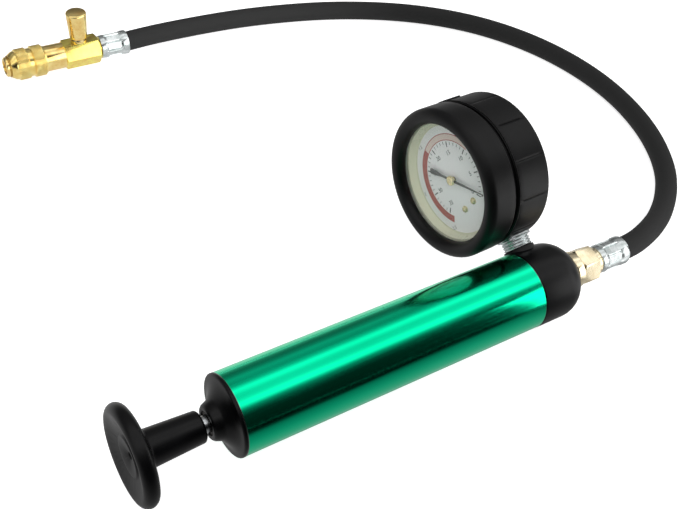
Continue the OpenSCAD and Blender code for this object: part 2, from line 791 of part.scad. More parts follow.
module gauge_socket() {
    hole = passage_d / 2;
    color(chrome) on_gauge() translate([0, 0, stem_s]) difference() {
        union() {
            translate([-gauge_reach + port_floor + 0.3, 0, 0]) rotate([0, 90, 0])
                cylinder(d = stem_d, h = gauge_reach - port_floor - boot_r - 0.2);
            translate([-boot_r - 0.6, -socket_w / 2, -socket_w / 2])
                cube([boot_r - case_d / 2 + 4, socket_w, socket_w]);
            translate([-case_d / 2 + 3, -block_w / 2, -block_t / 2])
                cube([case_d / 2 - 3 + block_top, block_w, block_t]);
            translate([block_top - 3, -block_w / 2, -stem_s + back_plate_s + plate_t])
                cube([3, block_w, stem_s - back_plate_s]);
        }
        translate([-gauge_reach, 0, 0]) rotate([0, 90, 0])
            cylinder(r = hole, h = gauge_reach - tube_r);
        // slot that the pressure element is soldered into
        rotate([0, 0, tube_start - 0.2]) rotate_extrude(angle = 20) translate([tube_r, 0])
            square([tube_t + 0.1, tube_w + 0.1], center = true);
    }
}

// --- outlet and hose -------------------------------------------------------

module outlet_nipple()
    color(brass) on_pump() difference() {
        rod(nipple_d / 2, outlet_floor_s, cone_s);
        rod(passage_d / 2, outlet_floor_s - 1, cone_s + 1);
        translate([0, 0, cone_s - 1.6]) cylinder(r1 = passage_d / 2, r2 = nipple_d / 2 - 0.6, h = 1.7);
    }

module swivel_nut() {
    neck_end_s = hex_end_s + nut_neck;
    lead = 1.2;
    neck_edge = 0.9;
    color(nickel) on_pump() difference() {
        union() {
            rotate([0, 0, 12]) hexagon(nut_af, hex_s, hex_end_s, 1.5);
            rotate_extrude() polygon([
                [0, collar_s], [collar_d / 2 - lead, collar_s], [collar_d / 2, collar_s + lead],
                [collar_d / 2, hex_s - 0.5], [collar_d / 2 - 0.5, hex_s + 0.2], [0, hex_s + 0.2]
            ]);
            rotate_extrude() polygon([
                [0, hex_end_s - 0.1], [nut_neck_d / 2, hex_end_s - 0.1],
                [nut_neck_d / 2, neck_end_s - neck_edge],
                [nut_neck_d / 2 - neck_edge, neck_end_s], [0, neck_end_s]
            ]);
        }
        rod(nipple_d / 2 + insert_fit, collar_s - 1, cone_s + 3);
        rod(tail_r + 1.05, cone_s, neck_end_s + 1);
    }
}

module hose_tail()
    color(brass) on_pump() difference() {
        union() {
            translate([0, 0, cone_s - 1.5]) cylinder(r1 = passage_d / 2 + 0.1,
                r2 = nipple_d / 2 - 0.8, h = 1.5);
            rod(nipple_d / 2 - 0.2, cone_s, cone_s + 2.9);
            rod(tail_r + 1, cone_s + 2.9, pump_ferrule_s);
            barbs(pump_ferrule_s, exit_s - 2);
        }
        rod(passage_d / 2 - 0.4, cone_s - 2, exit_s);
    }

// Hose barbs along the axis from a to b
module barbs(a, b) {
    n = 4;
    step = (b - a) / n;
    for (i = [0:n - 1]) translate([0, 0, a + i * step])
        cylinder(r1 = tail_r, r2 = tail_r - 0.5, h = step);
}

// A crimped ferrule along the axis from a, with its mouth towards the hose
module ferrule(a) {
    b = a + ferrule_len;
    step = 360 / crimps;
    difference() {
        rotate_extrude() polygon([
            [tail_r + 0.9, a], [ferrule_r - 0.7, a], [ferrule_r - 0.2, a + 0.6],
            [ferrule_r - 0.2, a + 2.4], [ferrule_r - 0.5, a + 3.4],
            [ferrule_r - 0.5, b - 3.6], [ferrule_r + 0.2, b - 2.2],
            [ferrule_r + 0.2, b - 0.5], [ferrule_r - 0.2, b],
            [hose_d / 2 + 0.02, b], [hose_d / 2 + 0.02, a + 1.6], [tail_r + 0.9, a + 1.6]
        ]);
        for (i = [0:crimps - 1]) rotate([0, 0, i * step])
            translate([ferrule_r + 0.1, 0, a + 3]) cylinder(r = 0.9, h = ferrule_len - 6.2, $fn = 24);
    }
}

module pump_ferrule() color(chrome) on_pump() ferrule(pump_ferrule_s);

// The hose's ends inside the two ferrules
module hose_ends()
    color(rubber) {
        on_pump() tube(hose_d / 2 - 0.05, tail_r + 0.05, pump_ferrule_s + 1.7, exit_s - 0.05);
        on_coupler() tube(hose_d / 2 - 0.05, tail_r + 0.05, far_ferrule_t + 1.7, far_exit_t - 0.05);
    }

// Sweeps a round tube along a list of points: one ring square to the way at each point
function unit(v) = v / norm(v);
function heading(p, i) = unit(p[min(i + 1, len(p) - 1)] - p[max(i - 1, 0)]);
function ring_at(c, d, r, n) =
    let(side = unit(cross([0, 0, 1], d)), up = cross(d, side))
    [for (k = [0:n - 1]) let(w = 360 * k / n) c + r * (cos(w) * side + sin(w) * up)];

// The first and last rings are square to the ways out of the ferrules, first and last
module swept_tube(p, r, n, first, last) {
    m = len(p);
    ways = [for (i = [0:m - 1]) i == 0 ? first : i == m - 1 ? last : heading(p, i)];
    polyhedron(
        points = [for (i = [0:m - 1]) each ring_at(p[i], ways[i], r, n)],
        faces = concat(
            [[for (k = [0:n - 1]) k]],
            [for (i = [0:m - 2], k = [0:n - 1]) let(a = i * n + k, b = i * n + (k + 1) % n)
                each [[a, a + n, b + n], [a, b + n, b]]],
            [[for (k = [n - 1:-1:0]) (m - 1) * n + k]]
        )
    );
}

module hose()
    color(rubber) translate([frame_x, frame_y, 0])
        swept_tube(route, hose_d / 2, hose_sides, [cos(tilt), 0, -sin(tilt)],
            [-cos(coupler_turn), -sin(coupler_turn), 0]);

// --- coupler ---------------------------------------------------------------

module coupler_ferrule() color(chrome) on_coupler() ferrule(far_ferrule_t);

module coupler_hex() {
    tail_end = far_exit_t - 2;
    color(brass) on_coupler() difference() {
        union() {
            hexagon(hex_af, hex_t, hex_end_t, 1.1);
            rod(tail_r + 1.6, hex_end_t - 0.1, far_ferrule_t);
            barbs(far_ferrule_t, tail_end);
        }
        rod(body_tail + insert_fit, hex_t - 1, hex_t + 6.5);
        rod(tail_r - 1.4, hex_t, tail_end + 1);
        // guide of the button's stem, down to the air passage
        at_button() translate([0, 0, 1]) cylinder(r = button_stem_d / 2 + button_fit, h = hex_af);
        at_button() translate([0, 0, hex_af / 2 - 2.6])
            cylinder(r = button_stem_d / 2 + 1.4, h = hex_af);
    }
}

// Puts a piece on the bleed button's line, upwards from the coupler's axis
module at_button()
    translate([0, 0, button_t]) rotate([0, -90, 0]) children();

module coupler_body()
    color(brass) on_coupler() difference() {
        union() {
            rotate_extrude() polygon([
                [0, 0], [nose_d / 2 - 0.9, 0], [nose_d / 2 - 0.1, 0.8],
                [nose_d / 2 - 0.1, clip_t], [nose_d / 2 - 0.7, clip_t],
                [nose_d / 2 - 0.7, sleeve_t - 0.05],
                [nose_d / 2, sleeve_t - 0.05], [nose_d / 2, body_t], [body_d / 2, body_t],
                [body_d / 2, hex_t], [0, hex_t]
            ]);
            rod(body_tail, hex_t - 1, hex_t + 6);
        }
        rod(mouth_d / 2, -1, seat_wall_t);
        translate([0, 0, -0.1]) cylinder(r1 = mouth_d / 2 + 0.6, r2 = mouth_d / 2, h = 0.7);
        rod(1.9, seat_wall_t - 1, poppet_t + 1);
        rod(chamber_r, poppet_t, hex_t + 7);
        // groove of the mouth's seal, and the holes of the locking balls
        tube(mouth_d / 2 + 2 * seal_r + 0.1, mouth_d / 2 - 0.5, seal_t - seal_r - 0.1,
            seal_t + seal_r + 0.1);
        for (i = [0:lock_balls - 1]) rotate([0, 0, i * 360 / lock_balls])
            translate([0, 0, ball_t]) rotate([0, 90, 0])
                cylinder(r = lock_ball_d / 2 + 0.05, h = nose_d);
    }

// A band of straight knurls between a and b
module knurled_band(r, a, b) {
    depth = 0.35;
    translate([0, 0, a]) linear_extrude(b - a) polygon([
        for (i = [0:knurls - 1], k = [0, 1]) let(w = (i + k / 2) * 360 / knurls)
            [(r - k * depth) * cos(w), (r - k * depth) * sin(w)]
    ]);
}

module coupler_sleeve() {
    r = sleeve_d / 2;
    end = sleeve_t + sleeve_len;
    bands = [[sleeve_t + 4.2, sleeve_t + 11.2], [sleeve_t + 14, end - 0.8]];
    color(brass) on_coupler() difference() {
        union() {
            rotate_extrude() polygon([
                [0, sleeve_t], [nose_d / 2 + 0.7, sleeve_t], [r - 0.9, sleeve_t + 2.8],
                [r - 0.9, end - 0.8], [r - 1.2, end], [0, end]
            ]);
            for (b = bands) {
                knurled_band(r, b[0] + 0.4, b[1] - 0.4);
                rod(r - 0.5, b[0], b[1]);
            }
        }
        rod(nose_d / 2 + sleeve_fit, sleeve_t - 1, end + 1);
        rod(body_d / 2 + sleeve_fit, recess_t, end + 1);
    }
}

module sleeve_spring()
    color(steel) on_coupler()
        tube(body_d / 2 - 0.2, nose_d / 2 + 0.3, recess_t + sleeve_travel + 0.1, body_t);

module sleeve_clip()
    color(steel) on_coupler()
        tube(nose_d / 2 + 0.5, nose_d / 2 - 0.68, clip_t + 0.02, sleeve_t - 0.07);

module locking_balls()
    color(steel) on_coupler() for (i = [0:lock_balls - 1])
        rotate([0, 0, i * 360 / lock_balls])
            translate([(nose_d + mouth_d) / 4, 0, ball_t]) sphere(d = lock_ball_d, $fn = 32);

module coupler_seal()
    color(rubber) on_coupler() ring(mouth_d / 2 + seal_r + 0.05, seal_r, seal_t);

module poppet()
    color(brass) on_coupler() {
        rod(1.2, seat_wall_t + 0.1, poppet_t + 0.1);
        rod(poppet_r, poppet_t + 0.05, poppet_t + 2);
        rod(poppet_r + 0.92, poppet_t + 2, poppet_t + 4);
    }

module poppet_spring()
    color(steel) on_coupler()
        tube(poppet_r + 0.4, poppet_r - 0.3, poppet_t + 4.1 + poppet_travel, hex_t + 6.45);

module bleed_bonnet()
    color(brass) on_coupler() at_button() {
        low = hex_af / 2 - 0.4;
        tube(button_stem_d / 2 + 1.35, button_stem_d / 2 + button_fit, low, hex_af / 2);
        tube(button_foot_d / 2 - 0.6, button_stem_d / 2 + button_fit, hex_af / 2, hex_af / 2 + 1.2);
    }

module bleed_button() {
    foot = hex_af / 2 + 1.2 + button_travel + 0.2;
    top = foot + button_h;
    edge = 1.2;
    color(brass) on_coupler() at_button() {
        difference() {
            rotate_extrude() polygon(concat(
                [[0, foot + 0.4], [button_foot_d / 2 - 0.5, foot], [button_foot_d / 2, foot + 0.5]],
                arc(button_d / 2 - edge, top - edge, edge, 0, 80, 5),
                [[0, top]]
            ));
            rod(button_foot_d / 2 - 1.2, foot - 1, foot + button_h * 0.6);
        }
        rod(button_stem_d / 2, button_z, foot + button_h * 0.6 + 0.1);
    }
}

module bleed_spring()
    color(steel) on_coupler() at_button()
        tube(button_foot_d / 2 - 1.5, button_stem_d / 2 + 0.4, hex_af / 2 + 1.2,
            hex_af / 2 + 1.2 + button_h * 0.6);

module bleed_seal()
    color(rubber) on_coupler() at_button()
        tube(button_stem_d / 2 + 1.3, button_stem_d / 2 + button_fit, hex_af / 2 - 2.5,
            hex_af / 2 - 0.5);

barrel();
end_cap();
rod_bush();
plunger_rod();
knob();
piston();
cup_seal();
piston_washer();
piston_nut();
head_cap();
head_ring();
valve_seat();
valve_ball();
valve_spring();
gauge_boot();
gauge_case();
gauge_lens();
lens_spacer();
gauge_dial();
dial_screws();
gauge_needle();
needle_arbor();
gauge_socket();
bourdon_tube();
bourdon_link();
movement_plates();
sector_gear();
hairspring();
outlet_nipple();
swivel_nut();
hose_tail();
pump_ferrule();
hose();
hose_ends();
coupler_ferrule();
coupler_hex();
coupler_body();
coupler_sleeve();
sleeve_spring();
sleeve_clip();
locking_balls();
coupler_seal();
poppet();
poppet_spring();
bleed_bonnet();
bleed_button();
bleed_spring();
bleed_seal();
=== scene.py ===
"""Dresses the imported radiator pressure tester: fine pieces, finishes, stage and camera."""

import math

import bmesh
import bpy
from bpy.props import FloatProperty, IntProperty, PointerProperty, StringProperty
from mathutils import Matrix, Vector


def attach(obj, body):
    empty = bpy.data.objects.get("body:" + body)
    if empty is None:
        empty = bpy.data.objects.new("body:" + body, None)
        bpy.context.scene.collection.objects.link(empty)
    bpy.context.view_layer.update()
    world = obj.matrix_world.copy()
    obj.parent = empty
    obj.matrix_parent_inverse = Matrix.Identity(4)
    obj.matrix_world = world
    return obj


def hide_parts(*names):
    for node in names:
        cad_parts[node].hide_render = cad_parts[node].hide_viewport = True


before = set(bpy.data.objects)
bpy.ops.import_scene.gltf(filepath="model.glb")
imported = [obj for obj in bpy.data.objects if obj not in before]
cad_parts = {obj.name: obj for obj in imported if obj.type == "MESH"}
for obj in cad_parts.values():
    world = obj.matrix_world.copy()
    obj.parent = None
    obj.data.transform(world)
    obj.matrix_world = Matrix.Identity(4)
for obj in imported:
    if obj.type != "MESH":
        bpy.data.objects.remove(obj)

bl_info = {
    "name": "Pressure Tester Dressing",
    "version": (1, 0, 0),
    "blender": (4, 5, 0),
    "location": "View3D > Sidebar > Tester",
    "description": "Builds the fine pieces and finishes of a radiator pressure tester",
    "category": "Object",
}

MM = 0.001

# --- the part's own sizes, in millimetres and degrees as in the part's source ------------

# s is the place along the pump, from the tube's outlet end, and t along the coupler, from
# its mouth. The pump lies tilted, resting on the head and on the knob's rim.

BARREL_R = 19.0
HEAD_R = 19.1
BOSS_H = 0.9
BARREL_LEN = 161.3
HEAD_LEN = 29.5
HEAD_ROUND = 13.5
DISC_S = -199.4
KNOB_R = 22.75
KNOB_T = 7.0
KNOB_CONE = 1.5
FACE_S = DISC_S - KNOB_CONE - KNOB_T
RIM_S = DISC_S - KNOB_CONE - KNOB_T / 2
SHOULDER_S = HEAD_LEN - HEAD_ROUND
TILT = math.degrees(math.asin((KNOB_R - HEAD_R) / (SHOULDER_S - RIM_S)))
AXIS_Z = HEAD_R * math.cos(math.radians(TILT)) + SHOULDER_S * math.sin(math.radians(TILT))
LEAN = 37.8
REACH = 63.2
STEM_S = 9.4
STEM_R = 6.6
GAUGE_TIP = 2.0
GAUGE_TURN = 3.7
BOOT_R = 37.6
OPENING_R = 29.8
BEAD_R = (BOOT_R - OPENING_R) / 2
BEAD_S = -16.4
GROOVE_S = BEAD_S + 12
CASE_R = 31.5
DIAL_S = -9.8
RING_WALL_R = 28.2
SCREW_RING_R = 15.4
SCREW_ANGLES = (152, 184)
CASE_BACK_S = 15.4
BOOT_BACK_S = CASE_BACK_S + 3
PUMP_FERRULE_S = 49.1
FERRULE_LEN = 18.0
EXIT_S = PUMP_FERRULE_S + FERRULE_LEN
HOSE_R = 6.15
FERRULE_R = HOSE_R + 1.2
FRAME_X = -(EXIT_S + FACE_S) / 2
FRAME_Y = -(REACH * math.cos(math.radians(LEAN)) + BOOT_R - KNOB_R) / 2
COUPLER_TURN = -2.9
COUPLER_Z = 9.6
SLEEVE_T = 2.9
SLEEVE_END_T = SLEEVE_T + 22
SLEEVE_R = 9.6
SLEEVE_FIT = 0.08
RECESS_T = SLEEVE_T + 6.6
NOSE_R = 6.2
BODY_R = 8.0
FAR_FERRULE_T = 60.3
FAR_EXIT_T = FAR_FERRULE_T + FERRULE_LEN
REST_Z = HOSE_R + 0.1
EXIT_X = EXIT_S * math.cos(math.radians(TILT))
EXIT_Z = AXIS_Z - EXIT_S * math.sin(math.radians(TILT))

# The hose's route, as in the part's source. It leaves the pump and sinks to the table, lies
# flat, and rises to the coupler: x, y from the outlet, and the share of each height.
AWAY = [
    (0, 0, 1), (5, 0, 0.99), (11, 0.5, 0.97), (19, 2.6, 0.9), (30.1, 6.7, 0.72),
    (42.1, 12.3, 0.48), (54.2, 19.3, 0.24), (66.6, 27.9, 0.07), (78.7, 38.4, 0.01),
]
FLAT = [
    (88.6, 50), (97.3, 63.7), (105, 79.2), (111.1, 96.6), (115.3, 115.2), (117.2, 134.7),
    (116.6, 154.5), (113.4, 174.8), (107.6, 194.5), (99.2, 213.4), (88.2, 231.3),
    (74.4, 247.5), (58.6, 261.7), (41.5, 273.8), (22.7, 284.2), (2.9, 293.1), (-17.7, 300),
    (-38.7, 305.6), (-59.5, 309.8),
]
BACK = [
    (-79.9, 312.3, 0.03), (-99.7, 312.9, 0.25), (-117.6, 311.6, 0.7), (-129.8, 310.3, 0.95),
    (-137.7, 309.8, 1),
]
FAR_X, FAR_Y = BACK[-1][:2]

# Gap that keeps a fitted skin off the solid under it
SKIN_GAP = 0.02


def route():
    """The points of the hose's middle line, in metres."""
    points = [(x, y, REST_Z + h * (EXIT_Z - REST_Z)) for x, y, h in AWAY]
    points += [(x, y, REST_Z) for x, y in FLAT]
    points += [(x, y, REST_Z + h * (COUPLER_Z - REST_Z)) for x, y, h in BACK]
    return [
        Vector((FRAME_X + EXIT_X + x, FRAME_Y + y, z)) * MM for x, y, z in points
    ]


def shift(x, y, z):
    """A move in millimetres, for a frame in metres."""
    return Matrix.Translation(Vector((x, y, z)) * MM)


def turn(degrees, axis):
    return Matrix.Rotation(math.radians(degrees), 4, axis)


# PUMP and COUPLER run along their z, STEM along its x from the head, and GAUGE has its
# 12 o'clock along x and its back along z, so angles about z run clockwise on the dial.
PUMP = shift(FRAME_X, FRAME_Y, AXIS_Z) @ turn(90 + TILT, "Y")
STEM = PUMP @ turn(90 + LEAN, "Z") @ shift(0, 0, STEM_S) @ turn(GAUGE_TIP, "Y")
GAUGE = STEM @ shift(REACH, 0, 0) @ turn(GAUGE_TURN, "X") @ shift(0, 0, -STEM_S)
FAR_EXIT = (FRAME_X + EXIT_X + FAR_X, FRAME_Y + FAR_Y, COUPLER_Z)
COUPLER = (
    shift(*FAR_EXIT) @ turn(COUPLER_TURN, "Z") @ turn(90, "Y") @ shift(0, 0, -FAR_EXIT_T)
)
# A copy of a CAD node already lies in its place
AS_PACKED = Matrix.Identity(4)


# --- colours and nodes -------------------------------------------------------------------


def linear(text):
    """A colour written as #rrggbb, as the linear values that sockets hold."""
    values = [int(text[i : i + 2], 16) / 255 for i in (1, 3, 5)]
    return tuple(
        v / 12.92 if v <= 0.04045 else ((v + 0.055) / 1.055) ** 2.4 for v in values
    ) + (1.0,)


def fill(tree, node, stops=(), **settings):
    """Sets a node's own properties and its sockets, by name or number, and links sockets.

    A ramp's stops are (place, grey level) pairs, in order.
    """
    for i, (at, level) in enumerate(stops):
        elements = node.color_ramp.elements
        stop = elements[i] if i < len(elements) else elements.new(at)
        stop.position = at
        stop.color = (level, level, level, 1)
    for key, value in settings.items():
        if hasattr(node, key):
            setattr(node, key, value)
            continue
        name = int(key[1:]) if key[1:].isdigit() else key.replace("_", " ")
        if isinstance(value, bpy.types.NodeSocket):
            tree.links.new(value, node.inputs[name])
        else:
            node.inputs[name].default_value = value
    return node


def add(tree, kind, **settings):
    """Adds a node with its settings and links."""
    return fill(tree, tree.nodes.new(kind), **settings)


def material(name, colour, metallic, roughness, **settings):
    """Makes a material; gives its node tree, its shader and its Object coordinates."""
    made = bpy.data.materials.new(name)
    made.use_nodes = True
    made.diffuse_color = linear(colour)
    tree = made.node_tree
    shader = fill(
        tree, tree.nodes["Principled BSDF"], Base_Color=linear(colour), Metallic=metallic,
        Roughness=roughness, **settings,
    )
    return tree, shader, add(tree, "ShaderNodeTexCoord").outputs["Object"]


# --- finishes ----------------------------------------------------------------------------


def anodised_aluminium(colour, thin):
    """Drawn aluminium tube, dyed and anodised.

    The eye sees a clear satin mirror with very fine lines along the tube, 0.15 mm apart
    (drawn at 0.5 mm, which is as fine as shows), and a slight cloud where the dye is thin.
    """
    tree, shader, place = material("anodised_aluminium", colour, 1.0, 0.17)
    drawn = add(tree, "ShaderNodeMapping", Vector=place, Scale=(8, 2000, 2000)).outputs[0]
    lines = add(tree, "ShaderNodeTexNoise", Vector=drawn, Scale=1.0, Detail=2.0).outputs[0]
    clouds = add(tree, "ShaderNodeMapping", Vector=place, Scale=(18, 60, 60)).outputs[0]
    cloud = add(tree, "ShaderNodeTexNoise", Vector=clouds, Scale=1.0, Detail=3.0).outputs[0]
    dye = add(tree, "ShaderNodeMix", data_type="RGBA", Factor=cloud, _6=linear(thin),
              _7=linear(colour)).outputs[2]
    satin = add(tree, "ShaderNodeMapRange", Value=lines, From_Min=0.3, From_Max=0.7,
                To_Min=0.12, To_Max=0.21).outputs[0]
    relief = add(tree, "ShaderNodeBump", Height=lines, Strength=0.03, Distance=0.0001)
    fill(tree, shader, Base_Color=dye, Roughness=satin, Normal=relief.outputs[0])


def bare_aluminium(colour):
    """Aluminium turned bright at the tube's cut ends, where the dye is gone.

    The eye sees a thin dull grey-green line with tool marks round it, 0.2 mm apart.
    """
    tree, shader, place = material("bare_aluminium", colour, 1.0, 0.25)
    round_it = add(tree, "ShaderNodeMapping", Vector=place, Scale=(5000, 40, 40)).outputs[0]
    marks = add(tree, "ShaderNodeTexNoise", Vector=round_it, Scale=1.0).outputs[0]
    worn = add(tree, "ShaderNodeMapRange", Value=marks, From_Min=0.3, From_Max=0.7,
               To_Min=0.18, To_Max=0.36).outputs[0]
    fill(tree, shader, Roughness=worn)


def moulded_nylon(colour, deep, roughness):
    """Black glass-filled nylon, injection moulded in a spark-eroded mould.

    The eye sees a deep black satin with a fine even grain, 0.3 mm across (drawn at 0.6 mm),
    softly smeared where hands have rubbed it, about every 30 mm.
    """
    tree, shader, place = material("moulded_nylon", colour, 0.0, roughness,
                                   Specular_IOR_Level=0.22)
    spark = add(tree, "ShaderNodeTexNoise", Vector=place, Scale=1700.0, Detail=2.0).outputs[0]
    smear = add(tree, "ShaderNodeTexNoise", Vector=place, Scale=33.0, Detail=4.0).outputs[0]
    satin = add(tree, "ShaderNodeMapRange", Value=smear, From_Min=0.3, From_Max=0.7,
                To_Min=roughness - 0.06, To_Max=roughness + 0.08).outputs[0]
    shade = add(tree, "ShaderNodeMix", data_type="RGBA", Factor=smear,
                _6=linear(deep), _7=linear(colour)).outputs[2]
    relief = add(tree, "ShaderNodeBump", Height=spark, Strength=0.1, Distance=0.0001)
    fill(tree, shader, Base_Color=shade, Roughness=satin, Normal=relief.outputs[0])


def moulded_rubber(name, colour, deep, roughness, skin):
    """Black nitrile rubber from a polished mould: the boot, and the extruded hose.

    The eye sees a dull black with a wide soft sheen, a faint bloom in patches of 25 mm and
    a fine skin. The skin's real grain, 0.2 mm, is drawn at 0.6 mm on the boot and 0.45 mm
    on the hose, as coarse as it needs to show, and is given in bumps to the metre.
    """
    tree, shader, place = material(name, colour, 0.0, roughness, Specular_IOR_Level=0.24)
    bloom = add(tree, "ShaderNodeTexNoise", Vector=place, Scale=40.0, Detail=5.0).outputs[0]
    grain = add(tree, "ShaderNodeTexNoise", Vector=place, Scale=skin, Detail=2.0).outputs[0]
    shade = add(tree, "ShaderNodeMix", data_type="RGBA", Factor=bloom,
                _6=linear(deep), _7=linear(colour)).outputs[2]
    sheen = add(tree, "ShaderNodeMapRange", Value=bloom, From_Min=0.3, From_Max=0.7,
                To_Min=roughness - 0.07, To_Max=roughness + 0.07).outputs[0]
    relief = add(tree, "ShaderNodeBump", Height=grain, Strength=0.12, Distance=0.0001)
    fill(tree, shader, Base_Color=shade, Roughness=sheen, Normal=relief.outputs[0])


def turned_metal(name, dark, light, roughness, marks_mm, turned):
    """Turned or rolled brass, bronze, nickel plate, zinc plate or steel.

    The eye sees a bright metal with tool marks round its axis and a faint tarnish in
    patches of 4 mm. Real marks lie 0.1 mm apart, and the given spacing is as fine as shows
    on the piece. The axis is turned about z from the frame's x.
    """
    tree, shader, place = material(name, light, 1.0, roughness)
    across = add(tree, "ShaderNodeMapping", Vector=place,
                 Rotation=(0, 0, math.radians(-turned)), Scale=(1000 / marks_mm, 9, 9))
    marks = add(tree, "ShaderNodeTexNoise", Vector=across.outputs[0], Scale=1.0,
                Detail=2.0).outputs[0]
    patch = add(tree, "ShaderNodeTexNoise", Vector=place, Scale=250.0, Detail=3.0).outputs[0]
    tarnish = add(tree, "ShaderNodeMapRange", Value=patch, From_Min=0.35, From_Max=0.65)
    shade = add(tree, "ShaderNodeMix", data_type="RGBA", Factor=tarnish.outputs[0],
                _6=linear(dark), _7=linear(light)).outputs[2]
    polish = add(tree, "ShaderNodeMapRange", Value=marks, From_Min=0.3, From_Max=0.7,
                 To_Min=roughness - 0.04, To_Max=roughness + 0.05).outputs[0]
    relief = add(tree, "ShaderNodeBump", Height=marks, Strength=0.02, Distance=0.0001)
    fill(tree, shader, Base_Color=shade, Roughness=polish, Normal=relief.outputs[0])


def paint(name, colour, roughness, specular):
    """Baked enamel or printing ink on metal: even, with a faint orange peel of 1.5 mm."""
    tree, shader, place = material(name, colour, 0.0, roughness,
                                   Specular_IOR_Level=specular)
    peel = add(tree, "ShaderNodeTexNoise", Vector=place, Scale=700.0, Detail=2.0).outputs[0]
    gloss = add(tree, "ShaderNodeMapRange", Value=peel, From_Min=0.3, From_Max=0.7,
                To_Min=roughness - 0.05, To_Max=roughness + 0.05).outputs[0]
    relief = add(tree, "ShaderNodeBump", Height=peel, Strength=0.03, Distance=0.0001)
    fill(tree, shader, Roughness=gloss, Normal=relief.outputs[0])


def window_acrylic():
    """Cast acrylic window: clear, with a weak gloss and a trace of dust in 10 mm patches."""
    tree, shader, place = material("window_acrylic", "#f4f8f7", 0.0, 0.04, Alpha=0.06)
    dust = add(tree, "ShaderNodeTexNoise", Vector=place, Scale=90.0, Detail=4.0).outputs[0]
    film = add(tree, "ShaderNodeMapRange", Value=dust, To_Min=0.02, To_Max=0.08).outputs[0]
    fill(tree, shader, Roughness=film)


# --- making pieces -----------------------------------------------------------------------

# Vertices closer than this, in millimetres, are one
MERGE = 0.002
# Edges whose faces meet at more degrees than this are rounded
SHARP = 28.0
# Faces that meet at fewer degrees are shaded as one, on a new piece and on a CAD node
SMOOTH, SMOOTH_NODE = 38.0, 30.0


def spun(profile, steps, angle=360.0, closed=True):
    """A bmesh turned about z from a profile of (radius, height) pairs, in millimetres."""
    bm = bmesh.new()
    verts = [bm.verts.new((r, 0, s)) for r, s in profile]
    edges = [bm.edges.new(pair) for pair in zip(verts, verts[1:])]
    if closed:
        edges.append(bm.edges.new((verts[-1], verts[0])))
    whole = angle >= 360.0
    geom = verts + edges
    if not whole:
        geom = [bm.faces.new(verts)] + geom
    bmesh.ops.spin(
        bm, geom=geom, cent=(0, 0, 0), axis=(0, 0, 1), angle=math.radians(angle),
        steps=steps, use_merge=whole, use_duplicate=False,
    )
    bmesh.ops.remove_doubles(bm, verts=bm.verts, dist=MERGE)
    bmesh.ops.recalc_face_normals(bm, faces=bm.faces)
    return bm


def soften(bm, width, sharper=SHARP, segments=2):
    """Rounds every edge whose faces meet at more than an angle."""
    limit = math.radians(sharper)
    edges = [e for e in bm.edges if len(e.link_faces) == 2 and e.calc_face_angle(0) > limit]
    bmesh.ops.bevel(
        bm, geom=edges, offset=width, offset_type="OFFSET", segments=segments, profile=0.5,
        affect="EDGES", clamp_overlap=True, material=-1,
    )
    return bm


def join(target, other, matrix=None):
    """Adds a bmesh's faces to another, moved by a matrix, and frees it."""
    mesh = bpy.data.meshes.new("joined")
    if matrix is not None:
        bmesh.ops.transform(other, matrix=matrix, verts=other.verts)
    other.to_mesh(mesh)
    other.free()
    target.from_mesh(mesh)
    bpy.data.meshes.remove(mesh)


def piece(name, bm, where, body, finish, nodes=(), smooth=SMOOTH):
    """Makes the finished object: places it, shades it, and ties it to its body."""
    bmesh.ops.transform(bm, matrix=where @ Matrix.Scale(MM, 4), verts=bm.verts)
    mesh = bpy.data.meshes.new(name)
    bm.to_mesh(mesh)
    bm.free()
    mesh.shade_smooth()
    mesh.set_sharp_from_angle(angle=math.radians(smooth))
    mesh.materials.append(bpy.data.materials[finish])
    made = bpy.data.objects.new(name, mesh)
    bpy.context.scene.collection.objects.link(made)
    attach(made, body)
    if nodes:
        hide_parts(*nodes)


def dress(finish, *nodes):
    """Gives CAD nodes whose shape is right a finish."""
    for name in nodes:
        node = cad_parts[name]
        node.data.materials.clear()
        node.data.materials.append(bpy.data.materials[finish])
        node.data.shade_smooth()
        node.data.set_sharp_from_angle(angle=math.radians(SMOOTH_NODE))


def edged_copy(node, width):
    """A bmesh in millimetres of a CAD node, merged, with its sharp edges rounded."""
    bm = bmesh.new()
    bm.from_mesh(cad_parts[node].data)
    bmesh.ops.scale(bm, vec=(1 / MM,) * 3, verts=bm.verts)
    bmesh.ops.remove_doubles(bm, verts=bm.verts, dist=MERGE)
    bmesh.ops.dissolve_limit(
        bm, angle_limit=math.radians(0.5), verts=bm.verts, edges=bm.edges,
        use_dissolve_boundaries=False, delimit=set(),
    )
    return soften(bm, width)


def around(radius, degrees, height):
    """A move in millimetres to a place round the z axis, for a bmesh in millimetres."""
    angle = math.radians(degrees)
    return Matrix.Translation((radius * math.cos(angle), radius * math.sin(angle), height))


def arc_points(cx, cy, r, start, end, count):
    """Profile points on an arc, from one angle in degrees to another."""
    angles = [math.radians(start + (end - start) * i / count) for i in range(count + 1)]
    return [(cx + r * math.cos(angle), cy + r * math.sin(angle)) for angle in angles]


def push(bm, test, change):
    """Moves the vertices that pass a test of (radius, angle, height) to a new radius."""
    for v in bm.verts:
        r = math.hypot(v.co.x, v.co.y)
        angle = math.degrees(math.atan2(v.co.y, v.co.x)) % 360
        if test(r, angle, v.co.z):
            k = change(r, angle, v.co.z) / r
            v.co.x *= k
            v.co.y *= k


# --- the stage, and what metal mirrors ---------------------------------------------------

WHITE = (1, 1, 1, 1)
FLOOR_COLOUR = (0.8, 0.8, 0.8, 1)
# With this much light of its own, the table is white to the eye and keeps its shadows
FLOOR_GLOW = 0.78
